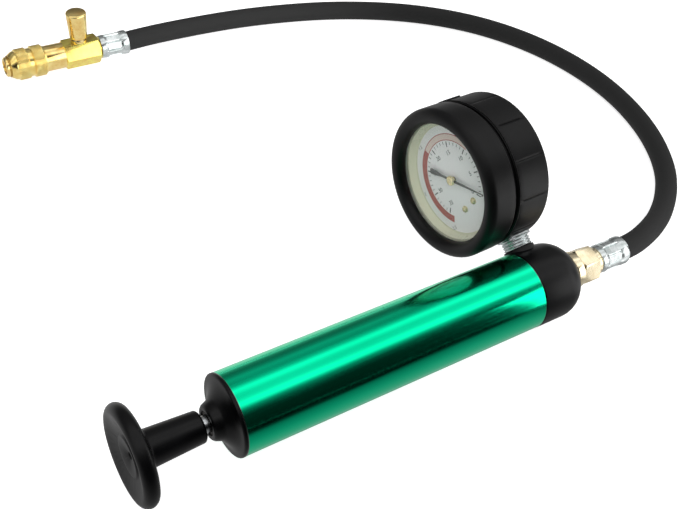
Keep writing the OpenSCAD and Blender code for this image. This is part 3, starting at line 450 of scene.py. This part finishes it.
# Metal sees the table dark in front of the pump (0) and pale behind it (1), at these
# places along y, in metres
FLOOR_FRONT, FLOOR_BACK = -0.25, 0.05
FLOOR_LEVELS = (
    (0.0, 0.006), (0.25, 0.006), (0.32, 0.05), (0.46, 0.2), (0.55, 0.28), (0.62, 0.39),
    (0.72, 0.5), (1.0, 0.8),
)
# Metal sees the room as strips, from the far side (0) over the top (0.5) to the near (1)
SKY_LEVELS = (
    (0.0, 0.38), (0.035, 0.15), (0.1, 0.075), (0.17, 0.115), (0.23, 0.24), (0.31, 0.17),
    (0.37, 0.3), (0.43, 0.9), (0.5, 0.5), (0.57, 0.55), (0.62, 0.95), (0.665, 0.85),
    (0.7, 0.22), (0.76, 0.045), (0.82, 0.01), (1.0, 0.006),
)
# Strength of the room where metal mirrors it, and where it lights the rest
SKY_MIRRORED, SKY_SOFT = 1.7, 0.35

# The photograph's camera: lens and sensor in millimetres, place in millimetres from the
# pump's middle, and the ways in which it looks and its picture's right side lies
LENS = 55.15
SENSOR = 36.0
CAMERA_PLACE = (-290.0, -246.72, 368.96)
CAMERA_AHEAD = (0.43514488, 0.5984484, -0.67268748)
CAMERA_RIGHT = (0.84223413, -0.53465613, 0.06916995)


# --- settings ----------------------------------------------------------------------------


class TesterPump(bpy.types.PropertyGroup):
    """Finish of the tube and its caps"""

    dye: StringProperty(name="Dye", description="Colour of the tube's dye", default="#0cf2b4")
    cut: StringProperty(
        name="Cut edge", description="Colour of the cut ends", default="#7d8f86"
    )
    plastic: StringProperty(name="Nylon", description="Colour of the caps", default="#08080a")
    satin: FloatProperty(
        name="Satin", description="Roughness of the caps", default=0.36, min=0.1, max=0.9,
        subtype="FACTOR",
    )


class TesterRubber(bpy.types.PropertyGroup):
    """Finish of the boot and the hose"""

    boot: StringProperty(
        name="Boot", description="Colour of the gauge's boot", default="#0b0b0c"
    )
    hose: StringProperty(name="Hose", description="Colour of the hose", default="#151617")
    panels: IntProperty(
        name="Panels", description="Panels round the boot's sleeve", default=12, min=6, max=24
    )


class TesterMetal(bpy.types.PropertyGroup):
    """Finish of the fittings, and the ferrules' crimp"""

    brass: StringProperty(name="Brass", description="Colour of the coupler", default="#fce398")
    nickel: StringProperty(name="Nickel", description="Colour of the nut", default="#fdf0cf")
    zinc: StringProperty(name="Zinc", description="Colour of the ferrules", default="#dde2e2")
    jaws: IntProperty(
        name="Jaws", description="Flats that the crimp leaves on a ferrule", default=8, min=4,
        max=12,
    )


class TesterDial(bpy.types.PropertyGroup):
    """Finish and scale of the dial"""

    face: StringProperty(name="Face", description="Colour of the dial", default="#fafafa")
    band: StringProperty(
        name="Band", description="Colour of the upper range", default="#b4554a"
    )
    zero: FloatProperty(
        name="Zero", description="Angle of zero, clockwise from the top",
        default=math.radians(135), min=0.0, max=math.tau, subtype="ANGLE",
    )
    step: FloatProperty(
        name="Step", description="Angle of five units, clockwise",
        default=math.radians(-38.571), min=-math.pi / 2, max=math.pi / 2, subtype="ANGLE",
    )
    needle: FloatProperty(
        name="Needle", description="Angle of the needle at rest, clockwise from the top",
        default=math.radians(128), min=0.0, max=math.tau, subtype="ANGLE",
    )


SETTINGS = (TesterPump, TesterRubber, TesterMetal, TesterDial)


# --- operators ---------------------------------------------------------------------------


class TESTER_OT_finishes(bpy.types.Operator):
    """Makes the finishes and gives every CAD node its own"""

    bl_idname = "tester.finishes"
    bl_label = "Finishes"

    def execute(self, context):
        scene = context.scene
        pump, rubber = scene.tester_pump, scene.tester_rubber
        metal, dial = scene.tester_metal, scene.tester_dial
        anodised_aluminium(pump.dye, "#04dc9c")
        bare_aluminium(pump.cut)
        moulded_nylon(pump.plastic, "#020202", pump.satin)
        moulded_rubber("boot_rubber", rubber.boot, "#040404", 0.46, 1600.0)
        moulded_rubber("hose_rubber", rubber.hose, "#040404", 0.4, 2200.0)
        self.metals(metal)
        self.paints(dial)
        window_acrylic()
        self.dress_nodes()
        return {"FINISHED"}

    def metals(self, metal):
        # Name, tarnished and clean colour, roughness, spacing of the marks in millimetres,
        # turn of the axis; a bar's lines run along it, so it is turned 90 degrees more
        for row in (
            ("turned_brass", "#f0ca7c", metal.brass, 0.17, 1.2, COUPLER_TURN),
            ("knurled_brass", "#f4d27a", "#ffe99a", 0.22, 1.2, COUPLER_TURN),
            # The hexagon's brass is a brighter, yellower copy of the coupler's: painted
            # highlight of its lit flats; its marks run along the rolled bar
            ("rolled_brass_painted_highlight", "#f8d474", "#fff07c", 0.2, 1.2, COUPLER_TURN + 90),
            ("pale_brass", "#d8cc96", "#efe6b8", 0.25, 1.2, 0.0),
            # The rod's bush is bronze coloured near-black: painted shade in the mouth of the
            # end cap's neck
            ("shade_darkened_bronze", "#1c1712", "#2a231b", 0.45, 1.2, 0.0),
            ("plain_brass", "#b08a3e", "#c9a04c", 0.3, 0.5, 0.0),
            ("nickel_plate", "#f0dfba", metal.nickel, 0.2, 1.2, 0.0),
            ("drawn_steel", "#a9acae", "#c4c7c9", 0.26, 0.6, 0.0),
            ("zinc_plate", "#bcc4c3", metal.zinc, 0.22, 1.2, 0.0),
        ):
            turned_metal(*row)

    def paints(self, dial):
        # Name, colour, roughness, specular level
        for row in (
            ("dial_enamel", dial.face, 0.42, 0.4),
            ("dial_ink", "#181916", 0.5, 0.3),
            ("grey_ink", "#7d7f7a", 0.5, 0.3),
            ("red_ink", dial.band, 0.5, 0.3),
            ("pale_ink", "#ecd8cf", 0.5, 0.3),
            ("needle_enamel", "#3a3b34", 0.35, 0.5),
            ("cream_ring", "#dfe0c6", 0.3, 0.5),
            ("natural_nylon", "#d6d3c6", 0.5, 0.4),
        ):
            paint(*row)

    def dress_nodes(self):
        dress("anodised_aluminium", "barrel")
        dress("boot_rubber", "head_ring", "cup_seal", "coupler_seal", "bleed_seal")
        dress("hose_rubber", "hose_ends")
        dress("turned_brass", "bleed_bonnet")
        # The bush's near-black colour is painted shade in the neck's mouth
        dress("shade_darkened_bronze", "rod_bush")
        dress("plain_brass", "sleeve_clip", "valve_seat", "bourdon_tube", "movement_plates",
              "sector_gear", "outlet_nipple", "hose_tail", "poppet")
        dress("drawn_steel", "plunger_rod", "piston_washer", "piston_nut", "valve_ball",
              "valve_spring", "gauge_case", "gauge_socket", "needle_arbor", "bourdon_link",
              "hairspring", "sleeve_spring", "locking_balls", "poppet_spring",
              "bleed_spring")
        dress("natural_nylon", "piston")
        dress("cream_ring", "lens_spacer")
        dress("dial_enamel", "gauge_dial")
        dress("window_acrylic", "gauge_lens")


class TESTER_OT_pump(bpy.types.Operator):
    """Makes the caps and the knob with eased edges, and the tube's bright cut ends"""

    bl_idname = "tester.pump"
    bl_label = "Pump"

    def execute(self, context):
        for node, name, body, width in (
            ("end_cap", "tail_cap", "base", 0.25),
            ("head_cap", "head_dome", "base", 0.3),
            ("knob", "round_knob", "plunger", 0.35),
        ):
            piece(name, edged_copy(node, width), AS_PACKED, body, "moulded_nylon",
                  [node])
        # A thin bevelled ring over each end of the tube
        edges = bmesh.new()
        for s, inward in ((-BARREL_LEN, 1), (0.0, -1)):
            ring = spun([
                (BARREL_R + SKIN_GAP, s + 0.42 * inward), (BARREL_R + 0.05, s + 0.3 * inward),
                (BARREL_R - 0.3, s - SKIN_GAP * inward), (BARREL_R - 0.5, s + 0.1 * inward),
            ], steps=128)
            join(edges, ring)
        piece("cut_ends", edges, PUMP, "base", "bare_aluminium")
        return {"FINISHED"}


class TESTER_OT_boot(bpy.types.Operator):
    """Makes the gauge's rubber boot: bead, groove, panelled sleeve and tab"""

    bl_idname = "tester.boot"
    bl_label = "Boot"

    def execute(self, context):
        hollow = CASE_R + 0.1
        sleeve = BOOT_R - 0.45
        mouth = BEAD_S + 1
        front = GROOVE_S + 2
        back = BOOT_BACK_S
        hole = CASE_R - 5
        # The round bead in front, and its straight side
        profile = [(hollow, mouth), (OPENING_R, mouth)]
        profile += arc_points(OPENING_R + BEAD_R, BEAD_S, BEAD_R, 180, 360, 28)
        profile += [(BOOT_R, BEAD_S + s) for s in (2.5, 5, 7.5)]
        # The groove behind the bead
        profile += arc_points(BOOT_R - 1.4, GROOVE_S - 1.5, 1.4, 0, 80, 6)
        profile += [(BOOT_R - 2.0, GROOVE_S), (BOOT_R - 2.1, GROOVE_S + 1.2),
                    (BOOT_R - 1.9, front - 0.5)]
        # The sleeve's front lip, and its side, in steps so that lines can be pressed in it
        profile += arc_points(BOOT_R - 0.45, front - 0.25, 0.45, 200, 45, 6)
        profile += [(BOOT_R - 0.3, front + 0.5), (sleeve - 0.15, front + 0.8)]
        profile += [(sleeve, front + 1.6 + (back - front - 4.8) * i / 8) for i in range(9)]
        # The round back edge, and the hole in the back
        profile += arc_points(sleeve - 2.6, back - 2.6, 2.6, 0, 90, 8)
        profile += [(hole, back), (hole, CASE_BACK_S + 0.1), (hollow, CASE_BACK_S + 0.1)]
        bm = spun(profile, steps=360)
        self.panel_lines(bm, front + 1.5, back - 2.9, context.scene.tester_rubber.panels)
        # A moulded tab stands out of the sleeve just past 12 o'clock
        tab = bmesh.new()
        bmesh.ops.create_cube(tab, size=1.0)
        bmesh.ops.scale(tab, vec=(2.6, 6.4, 10.0), verts=tab.verts)
        soften(tab, 0.5, segments=3)
        join(bm, tab, turn(9, "Z") @ Matrix.Translation((BOOT_R - 1.0, 0, front + 5.4)))
        piece("boot_skin", bm, GAUGE, "base", "boot_rubber", ["gauge_boot"], 45.0)
        return {"FINISHED"}

    def panel_lines(self, bm, low, high, panels):
        """Presses in the lines between the sleeve's panels."""
        # The first line's place and half a line's width in degrees, and its depth
        first, half_width, depth = 10, 0.6, 0.55
        panel = 360 / panels

        def on_line(r, angle, s):
            off = (angle - first) % panel
            off = min(off, panel - off)
            return r > CASE_R + 2 and low < s < high and off < half_width

        push(bm, on_line, lambda r, angle, s: r - depth)


class TESTER_OT_dial(bpy.types.Operator):
    """Prints the dial's scales, numbers and bands, and sets its screws"""

    bl_idname = "tester.dial"
    bl_label = "Dial"

    def execute(self, context):
        dial = context.scene.tester_dial
        self.ticks(dial)
        self.numbers(dial)
        self.bands()
        self.screws()
        return {"FINISHED"}

    def ticks(self, dial):
        """A short tick for each unit, and a long and broad one for every fifth."""
        outer, thick = 19.1, 0.05
        marks = bmesh.new()
        for unit in range(36):
            inner, width = (17.6, 0.28) if unit % 5 else (16.3, 0.55)
            tick = bmesh.new()
            bmesh.ops.create_cube(tick, size=1.0)
            bmesh.ops.scale(tick, vec=(outer - inner, width, thick), verts=tick.verts)
            way = Matrix.Rotation(dial.zero + dial.step * unit / 5, 4, "Z")
            middle = Matrix.Translation(((outer + inner) / 2, 0, DIAL_S - 0.03))
            join(marks, tick, way @ middle)
        piece("dial_ticks", marks, GAUGE, "base", "dial_ink")

    def numbers(self, dial):
        """Numbers stand upright, read from the front, with 12 o'clock away from the pump."""
        upright = Matrix(((0, 1, 0, 0), (1, 0, 0, 0), (0, 0, -1, 0), (0, 0, 0, 1)))
        # Name, ink, size of the figures, radius of their row, texts with their angles
        rows = (
            ("dial_numbers", "dial_ink", 3.2, 13.4,
             [(str(5 * i), math.degrees(dial.zero + dial.step * i)) for i in range(8)]),
            ("dial_outer_numbers", "grey_ink", 2.6, 26.2,
             [("0.5", 79), ("1", 23), ("1.5", 327), ("2", 271), ("2.5", 215.4)]),
        )
        for name, ink, size, radius, row in rows:
            bm = bmesh.new()
            for text, degrees in row:
                curve = bpy.data.curves.new("number", "FONT")
                curve.body = text
                curve.size = size
                curve.align_x = "CENTER"
                curve.align_y = "CENTER"
                curve.extrude = 0.025
                curve.resolution_u = 4
                made = bpy.data.objects.new("number", curve)
                bpy.context.scene.collection.objects.link(made)
                graph = bpy.context.evaluated_depsgraph_get()
                mesh = bpy.data.meshes.new_from_object(made.evaluated_get(graph))
                bpy.data.objects.remove(made)
                glyph = bmesh.new()
                glyph.from_mesh(mesh)
                bpy.data.meshes.remove(mesh)
                bmesh.ops.remove_doubles(glyph, verts=glyph.verts, dist=0.0005)
                join(bm, glyph, around(radius, degrees, DIAL_S - 0.04) @ upright)
            piece(name, bm, GAUGE, "base", ink)

    def bands(self):
        """The upper range in red, the middle one pale between red lines, and the rim."""
        # Name, ink, first and last angle, inner and outer radius, height over the dial
        for name, ink, start, end, inner, outer, lift in (
            ("red_band", "red_ink", 215.5, 330, 19.7, 23.2, 0.02),
            ("pale_band", "pale_ink", 330, 421, 20.1, 22.8, 0.02),
            ("pale_band_borders", "red_ink", 330, 421, 19.7, 23.2, 0.012),
            ("dial_rim", "cream_ring", 0, 360, 27.3, RING_WALL_R - 0.05, 0.02),
        ):
            low, high = DIAL_S - lift - 0.03, DIAL_S + 0.02
            bm = spun([(inner, low), (outer, low), (outer, high), (inner, high)],
                      angle=end - start, steps=int((end - start) / 2))
            bmesh.ops.transform(bm, matrix=turn(start, "Z"), verts=bm.verts)
            piece(name, bm, GAUGE, "base", ink)

    def screws(self):
        """Round heads on short shanks, each with a slot pressed across its top."""
        dome = [(0, -1.15), (0.5, -1.13), (1.0, -1.05), (1.4, -0.85), (1.6, -0.55),
                (1.62, -0.3), (1.7, -0.25), (1.7, 0), (1.0, 0), (1.0, 3), (0, 3)]
        slot_width, slot_depth = 0.44, 0.45
        heads = bmesh.new()
        for degrees in SCREW_ANGLES:
            screw = spun(dome, steps=40, closed=False)
            # The faces along the middle of the top, whose inner vertices go down
            middles = [(f, f.calc_center_median()) for f in screw.faces]
            top = [f for f, at in middles if abs(at.y) < 0.28 and at.z < -0.6]
            for v in {v for f in top for v in f.verts if abs(v.co.y) < slot_width / 2}:
                v.co.z += slot_depth
            join(heads, screw, around(SCREW_RING_R, degrees, DIAL_S))
        piece("dial_screw_heads", heads, GAUGE, "base", "pale_brass",
              ["dial_screws"])


class TESTER_OT_needle(bpy.types.Operator):
    """Makes the needle with its hooked tip, spade tail and brass boss"""

    bl_idname = "tester.needle"
    bl_label = "Needle"

    def execute(self, context):
        where = GAUGE @ Matrix.Rotation(context.scene.tester_dial.needle, 4, "Z")
        low, high = DIAL_S - 1.7, DIAL_S - 1.3
        # The tail's end, along one side to the hooked tip, and back along the other
        outline = [
            (-15.6, -1.0), (-15.0, -1.45), (-13.8, -1.5), (-6.5, -0.55), (0, -0.8),
            (21.6, -0.28), (22.0, 0.1), (21.7, 0.75), (20.9, 0.85), (20.8, 0.5), (21.3, 0.42),
            (21.2, 0.18), (0, 0.8), (-6.5, 0.55), (-13.8, 1.5), (-15.0, 1.45), (-15.6, 1.0),
        ]
        bm = bmesh.new()
        face = bm.faces.new([bm.verts.new((x, y, low)) for x, y in outline])
        grown = bmesh.ops.extrude_face_region(bm, geom=[face])
        top = [v for v in grown["geom"] if isinstance(v, bmesh.types.BMVert)]
        bmesh.ops.translate(bm, vec=(0, 0, high - low), verts=top)
        bmesh.ops.recalc_face_normals(bm, faces=bm.faces)
        soften(bm, 0.08, 50, 1)
        piece("needle_blade", bm, where, "pointer", "needle_enamel",
              ["gauge_needle"])
        boss = [(0, -3.3), (0.7, -3.3), (0.8, -3.2), (0.85, -2.95), (1.0, -2.9), (2.1, -2.9),
                (2.3, -2.8), (2.4, -2.6), (2.4, -1.8), (1.5, -1.7), (1.5, -0.5), (0, -0.5)]
        hub = spun([(r, DIAL_S + s) for r, s in boss], steps=48, closed=False)
        piece("needle_boss", hub, where, "pointer", "pale_brass")
        return {"FINISHED"}


class TESTER_OT_stem(bpy.types.Operator):
    """Makes the plated thread between the head and the boot"""

    bl_idname = "tester.stem"
    bl_label = "Stem"

    def execute(self, context):
        turns, root, crest = 4, 6.65, 7.25
        skin = STEM_R + SKIN_GAP
        low, high = HEAD_R + BOSS_H, REACH - BOOT_R + 0.2
        pitch = (high - low) / turns
        profile = [(skin, low)]
        for i in range(turns):
            at = low + i * pitch
            profile += [(root, at), (crest, at + pitch * 0.35), (crest, at + pitch * 0.6),
                        (root, at + pitch * 0.95)]
        # A thin collar ends the thread inside the boot
        profile += [(7.9, high - 0.2), (8.1, high), (8.1, high + 0.7), (skin, high + 0.7)]
        bm = spun(profile, steps=72)
        piece("stem_thread", bm, STEM @ turn(90, "Y"), "base", "zinc_plate")
        return {"FINISHED"}


class TESTER_OT_outlet(bpy.types.Operator):
    """Makes the swivel nut and both crimped ferrules"""

    bl_idname = "tester.outlet"
    bl_label = "Outlet"

    def execute(self, context):
        piece("nut", edged_copy("swivel_nut", 0.22), AS_PACKED, "base", "nickel_plate",
              ["swivel_nut"])
        jaws = context.scene.tester_metal.jaws
        self.ferrule("ferrule_near", PUMP, PUMP_FERRULE_S, jaws, "pump_ferrule")
        self.ferrule("ferrule_far", COUPLER, FAR_FERRULE_T, jaws, "coupler_ferrule")
        return {"FINISHED"}

    def ferrule(self, name, where, a, jaws, node):
        """A sleeve whose crimp leaves flats with a fine ridge between each two."""
        b = a + FERRULE_LEN
        # The crimp runs from start to end, and reaches its depth over the ramp at each
        start, end, ramp = a + 3.0, b - 3.8, 1.6
        inside, bore, hole = a + 1.6, HOSE_R + SKIN_GAP, 4.0
        profile = [(hole, a), (FERRULE_R - 0.7, a), (FERRULE_R - 0.35, a + 0.15),
                   (FERRULE_R - 0.2, a + 0.5), (FERRULE_R - 0.15, a + 2.2)]
        profile += [(FERRULE_R, start + (end - start) * i / 12) for i in range(13)]
        profile += [(FERRULE_R + 0.15, b - 3.0), (FERRULE_R + 0.2, b - 2.0),
                    (FERRULE_R + 0.2, b - 0.5), (FERRULE_R + 0.05, b - 0.1),
                    (FERRULE_R - 0.2, b), (bore, b), (bore, inside), (hole, inside)]
        bm = spun(profile, steps=jaws * 18)
        flat = 360 / jaws
        # From each ridge's middle, the ridge and the groove beside it, as shares of a flat
        ridge, groove = 0.04, 0.13
        groove_depth, flat_depth, least = 0.75, 0.8, 0.3

        def crimped(r, angle, s):
            off = abs((angle + flat / 2) % flat - flat / 2)
            if off < flat * ridge:
                return r
            middle = math.radians(flat / 2 - off)
            level = r - (FERRULE_R - flat_depth) / math.cos(middle)
            deep = groove_depth if off < flat * groove else level
            ends = min(1.0, (s - start) / ramp, (end - s) / ramp)
            return r - max(least, deep) * ends

        push(bm, lambda r, angle, s: r > HOSE_R + 0.5 and start + 0.1 < s < end - 0.1, crimped)
        piece(name, bm, where, "base", "zinc_plate", [node], 32.0)


class TESTER_OT_coupler(bpy.types.Operator):
    """Makes the coupler's nose, knurled grip, hexagon and bleed button"""

    bl_idname = "tester.coupler"
    bl_label = "Coupler"

    def execute(self, context):
        for node, name, body, width in (
            ("coupler_body", "coupler_nose", "base", 0.15),
            ("coupler_hex", "coupler_hexagon", "base", 0.2),
            ("bleed_button", "bleed_knob", "button", 0.25),
        ):
            # The hexagon takes the brighter copy of the brass, whose colour holds a painted
            # highlight
            finish = "rolled_brass_painted_highlight" if node == "coupler_hex" else "turned_brass"
            piece(name, edged_copy(node, width), AS_PACKED, body, finish,
                  [node])
        self.grip()
        return {"FINISHED"}

    def grip(self):
        """The sliding sleeve, with diamond knurls on its two bands.

        The knurl's lines are every sixth of the mesh, 1.5 mm apart.
        """
        step, columns, rows, every, depth = 0.25, 240, 25, 6, 0.42
        bands = (SLEEVE_T + 4.6, SLEEVE_T + 14.4)
        core = SLEEVE_R - 0.9
        front_bore, back_bore = NOSE_R + SLEEVE_FIT, BODY_R + SLEEVE_FIT
        # The lip at the mouth, and the cone behind it
        profile = [(front_bore, SLEEVE_T), (NOSE_R + 0.6, SLEEVE_T),
                   (NOSE_R + 0.85, SLEEVE_T + 0.2), (core - 0.15, SLEEVE_T + 2.6),
                   (core, SLEEVE_T + 3.1)]
        for start in bands:
            end = start + rows * step
            profile += [(core, start - 0.55), (core + 0.25, start - 0.5),
                        (core + 0.7, start - 0.15)]
            profile += [(SLEEVE_R, start + j * step) for j in range(rows + 1)]
            profile += [(core + 0.7, end + 0.15), (core + 0.25, end + 0.5),
                        (core, end + 0.55)]
        profile += [(core - 0.3, SLEEVE_END_T), (back_bore, SLEEVE_END_T),
                    (back_bore, RECESS_T), (front_bore, RECESS_T)]
        bm = spun(profile, steps=columns)

        def groove(r, angle, s):
            if r < SLEEVE_R - 0.01:
                return False
            i = round(angle * columns / 360)
            start = bands[0] if s < bands[1] - 1 else bands[1]
            j = round((s - start) / step)
            return (i + j) % every == 0 or (i - j) % every == 0

        push(bm, groove, lambda r, angle, s: r - depth)
        piece("coupler_grip", bm, COUPLER, "sleeve", "knurled_brass",
              ["coupler_sleeve"], 50.0)


class TESTER_OT_hose(bpy.types.Operator):
    bl_idname = "tester.hose"
    bl_label = "Hose"

    def execute(self, context):
        points = route()
        curve = bpy.data.curves.new("hose_cover", "CURVE")
        curve.dimensions = "3D"
        curve.bevel_depth = HOSE_R * MM
        curve.bevel_resolution = 10
        curve.use_fill_caps = True
        spline = curve.splines.new("NURBS")
        spline.points.add(len(points) - 1)
        for knot, place in zip(spline.points, points):
            knot.co = (*place, 1)
        spline.order_u = 4
        spline.use_endpoint_u = True
        spline.resolution_u = 6
        curve.materials.append(bpy.data.materials["hose_rubber"])
        made = bpy.data.objects.new("hose_cover", curve)
        context.scene.collection.objects.link(made)
        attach(made, "base")
        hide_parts("hose")
        return {"FINISHED"}


class TESTER_OT_stage(bpy.types.Operator):
    """Makes the floor, the lamps, the world and the camera"""

    bl_idname = "tester.stage"
    bl_label = "Stage"

    def execute(self, context):
        scene = context.scene
        scene.view_settings.view_transform = "Standard"
        self.floor(scene)
        self.lamps(scene)
        self.world(scene)
        self.camera(scene)
        return {"FINISHED"}

    def floor(self, scene):
        """A white table; metal sees it fade to dark towards the camera, as in a studio."""
        bm = bmesh.new()
        bmesh.ops.create_grid(bm, x_segments=1, y_segments=1, size=6.0)
        mesh = bpy.data.meshes.new("table")
        bm.to_mesh(mesh)
        bm.free()
        made = bpy.data.objects.new("table", mesh)
        scene.collection.objects.link(made)
        finish = bpy.data.materials.new("table_white")
        finish.use_nodes = True
        tree = finish.node_tree
        tree.nodes.clear()
        path = add(tree, "ShaderNodeLightPath").outputs
        shade = add(tree, "ShaderNodeBsdfDiffuse", Color=FLOOR_COLOUR).outputs[0]
        seen = add(tree, "ShaderNodeEmission", Color=WHITE, Strength=FLOOR_GLOW).outputs[0]
        place = add(tree, "ShaderNodeTexCoord").outputs["Object"]
        across = add(tree, "ShaderNodeSeparateXYZ", Vector=place).outputs["Y"]
        fade = add(tree, "ShaderNodeMapRange", Value=across, From_Min=FLOOR_FRONT,
                   From_Max=FLOOR_BACK)
        ramp = add(tree, "ShaderNodeValToRGB", stops=FLOOR_LEVELS, Fac=fade.outputs[0])
        mirrored = add(tree, "ShaderNodeEmission", Color=ramp.outputs[0], Strength=1.0)
        both = add(tree, "ShaderNodeAddShader", _0=shade, _1=seen).outputs[0]
        direct = add(tree, "ShaderNodeMath", operation="MAXIMUM", _0=path["Is Camera Ray"],
                     _1=path["Is Transmission Ray"]).outputs[0]
        glossy = add(tree, "ShaderNodeMixShader", _0=path["Is Glossy Ray"], _1=shade,
                     _2=mirrored.outputs[0]).outputs[0]
        mix = add(tree, "ShaderNodeMixShader", _0=direct, _1=glossy, _2=both).outputs[0]
        add(tree, "ShaderNodeOutputMaterial", Surface=mix)
        mesh.materials.append(finish)

    def lamps(self, scene):
        """Three soft lamps, and three small bright cards that the brass and nut mirror."""
        middle = (0, 0.06, 0.03)
        # Name, place, target, width and height in metres, watts, seen in metal
        for name, spot, target, width, height, power, mirror in (
            ("key", (-0.5, -0.9, 1.5), middle, 0.9, 0.9, 13.0, False),
            ("fill", (1.2, -0.3, 1.1), middle, 1.0, 1.0, 3.5, False),
            ("back", (0.1, 1.4, 1.2), middle, 1.0, 1.0, 4.0, False),
            ("coupler_card", (0.02, 0.115, 0.07), (-0.11, 0.275, 0.012),
             0.3, 0.12, 0.26, True),
            ("nut_card", (0.2, -0.14, 0.06), (0.115, -0.033, 0.018), 0.12, 0.12, 0.1, True),
            ("low_card", (0.195, -0.1, 0.003), (0.195, -0.1, 1.0), 0.12, 0.1, 0.03, True),
        ):
            lamp = bpy.data.lights.new(name, "AREA")
            lamp.shape = "RECTANGLE"
            lamp.size = width
            lamp.size_y = height
            lamp.energy = power
            made = bpy.data.objects.new(name, lamp)
            made.location = spot
            way = Vector(target) - Vector(spot)
            made.rotation_euler = way.to_track_quat("-Z", "Y").to_euler()
            made.visible_glossy = mirror
            made.visible_camera = False
            scene.collection.objects.link(made)

    def world(self, scene):
        """White to the eye; metal sees long white strips and dark gaps above the table."""
        world = bpy.data.worlds.new("studio")
        world.use_nodes = True
        scene.world = world
        tree = world.node_tree
        tree.nodes.clear()
        path = add(tree, "ShaderNodeLightPath").outputs
        place = add(tree, "ShaderNodeTexCoord").outputs["Generated"]
        way = add(tree, "ShaderNodeSeparateXYZ", Vector=place).outputs
        angle = add(tree, "ShaderNodeMath", operation="ARCTAN2", _0=way["Z"],
                    _1=way["Y"]).outputs[0]
        share = add(tree, "ShaderNodeMath", operation="DIVIDE", _0=angle,
                    _1=math.pi).outputs[0]
        strips = add(tree, "ShaderNodeValToRGB", stops=SKY_LEVELS, Fac=share)
        mirrored = add(tree, "ShaderNodeBackground", Color=strips.outputs[0],
                       Strength=SKY_MIRRORED)
        seen = add(tree, "ShaderNodeBackground", Color=WHITE, Strength=1.0)
        soft = add(tree, "ShaderNodeBackground", Color=WHITE, Strength=SKY_SOFT)
        direct = add(tree, "ShaderNodeMath", operation="MAXIMUM", _0=path["Is Camera Ray"],
                     _1=path["Is Transmission Ray"]).outputs[0]
        glossy = add(tree, "ShaderNodeMixShader", _0=path["Is Glossy Ray"],
                     _1=soft.outputs[0], _2=mirrored.outputs[0]).outputs[0]
        mix = add(tree, "ShaderNodeMixShader", _0=direct, _1=glossy,
                  _2=seen.outputs[0]).outputs[0]
        add(tree, "ShaderNodeOutputWorld", Surface=mix)

    def camera(self, scene):
        data = bpy.data.cameras.new("camera")
        data.sensor_fit = "HORIZONTAL"
        data.sensor_width = SENSOR
        data.lens = LENS
        data.clip_start = 0.01
        data.clip_end = 50.0
        made = bpy.data.objects.new("camera", data)
        ahead, right = Vector(CAMERA_AHEAD), Vector(CAMERA_RIGHT)
        up = right.cross(ahead)
        spot = (Vector((FRAME_X, FRAME_Y, 0)) + Vector(CAMERA_PLACE)) * MM
        made.matrix_world = Matrix((
            (right.x, up.x, -ahead.x, spot.x),
            (right.y, up.y, -ahead.y, spot.y),
            (right.z, up.z, -ahead.z, spot.z),
            (0, 0, 0, 1),
        ))
        scene.collection.objects.link(made)
        scene.camera = made


OPERATORS = (
    TESTER_OT_stage, TESTER_OT_finishes, TESTER_OT_pump, TESTER_OT_boot, TESTER_OT_dial,
    TESTER_OT_needle, TESTER_OT_stem, TESTER_OT_outlet, TESTER_OT_coupler, TESTER_OT_hose,
)


class TESTER_PT_panel(bpy.types.Panel):
    """Lists the tester's settings and operators"""

    bl_label = "Pressure Tester"
    bl_idname = "TESTER_PT_panel"
    bl_space_type = "VIEW_3D"
    bl_region_type = "UI"
    bl_category = "Tester"

    def draw(self, context):
        for group in SETTINGS:
            settings = getattr(context.scene, setting_name(group))
            for key in group.__annotations__:
                self.layout.prop(settings, key)
        for operator in OPERATORS:
            self.layout.operator(operator.bl_idname)


def setting_name(group):
    """The name of a group's property on the scene."""
    return "tester_" + group.__name__[len("Tester"):].lower()


def register():
    for made in SETTINGS + OPERATORS + (TESTER_PT_panel,):
        bpy.utils.register_class(made)
    for group in SETTINGS:
        setattr(bpy.types.Scene, setting_name(group), PointerProperty(type=group))


def unregister():
    for group in reversed(SETTINGS):
        delattr(bpy.types.Scene, setting_name(group))
    for made in reversed(SETTINGS + OPERATORS + (TESTER_PT_panel,)):
        bpy.utils.unregister_class(made)


def main():
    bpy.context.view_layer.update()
    register()
    for operator in OPERATORS:
        group, name = operator.bl_idname.split(".")
        getattr(getattr(bpy.ops, group), name)()


if __name__ == "__main__":
    main()
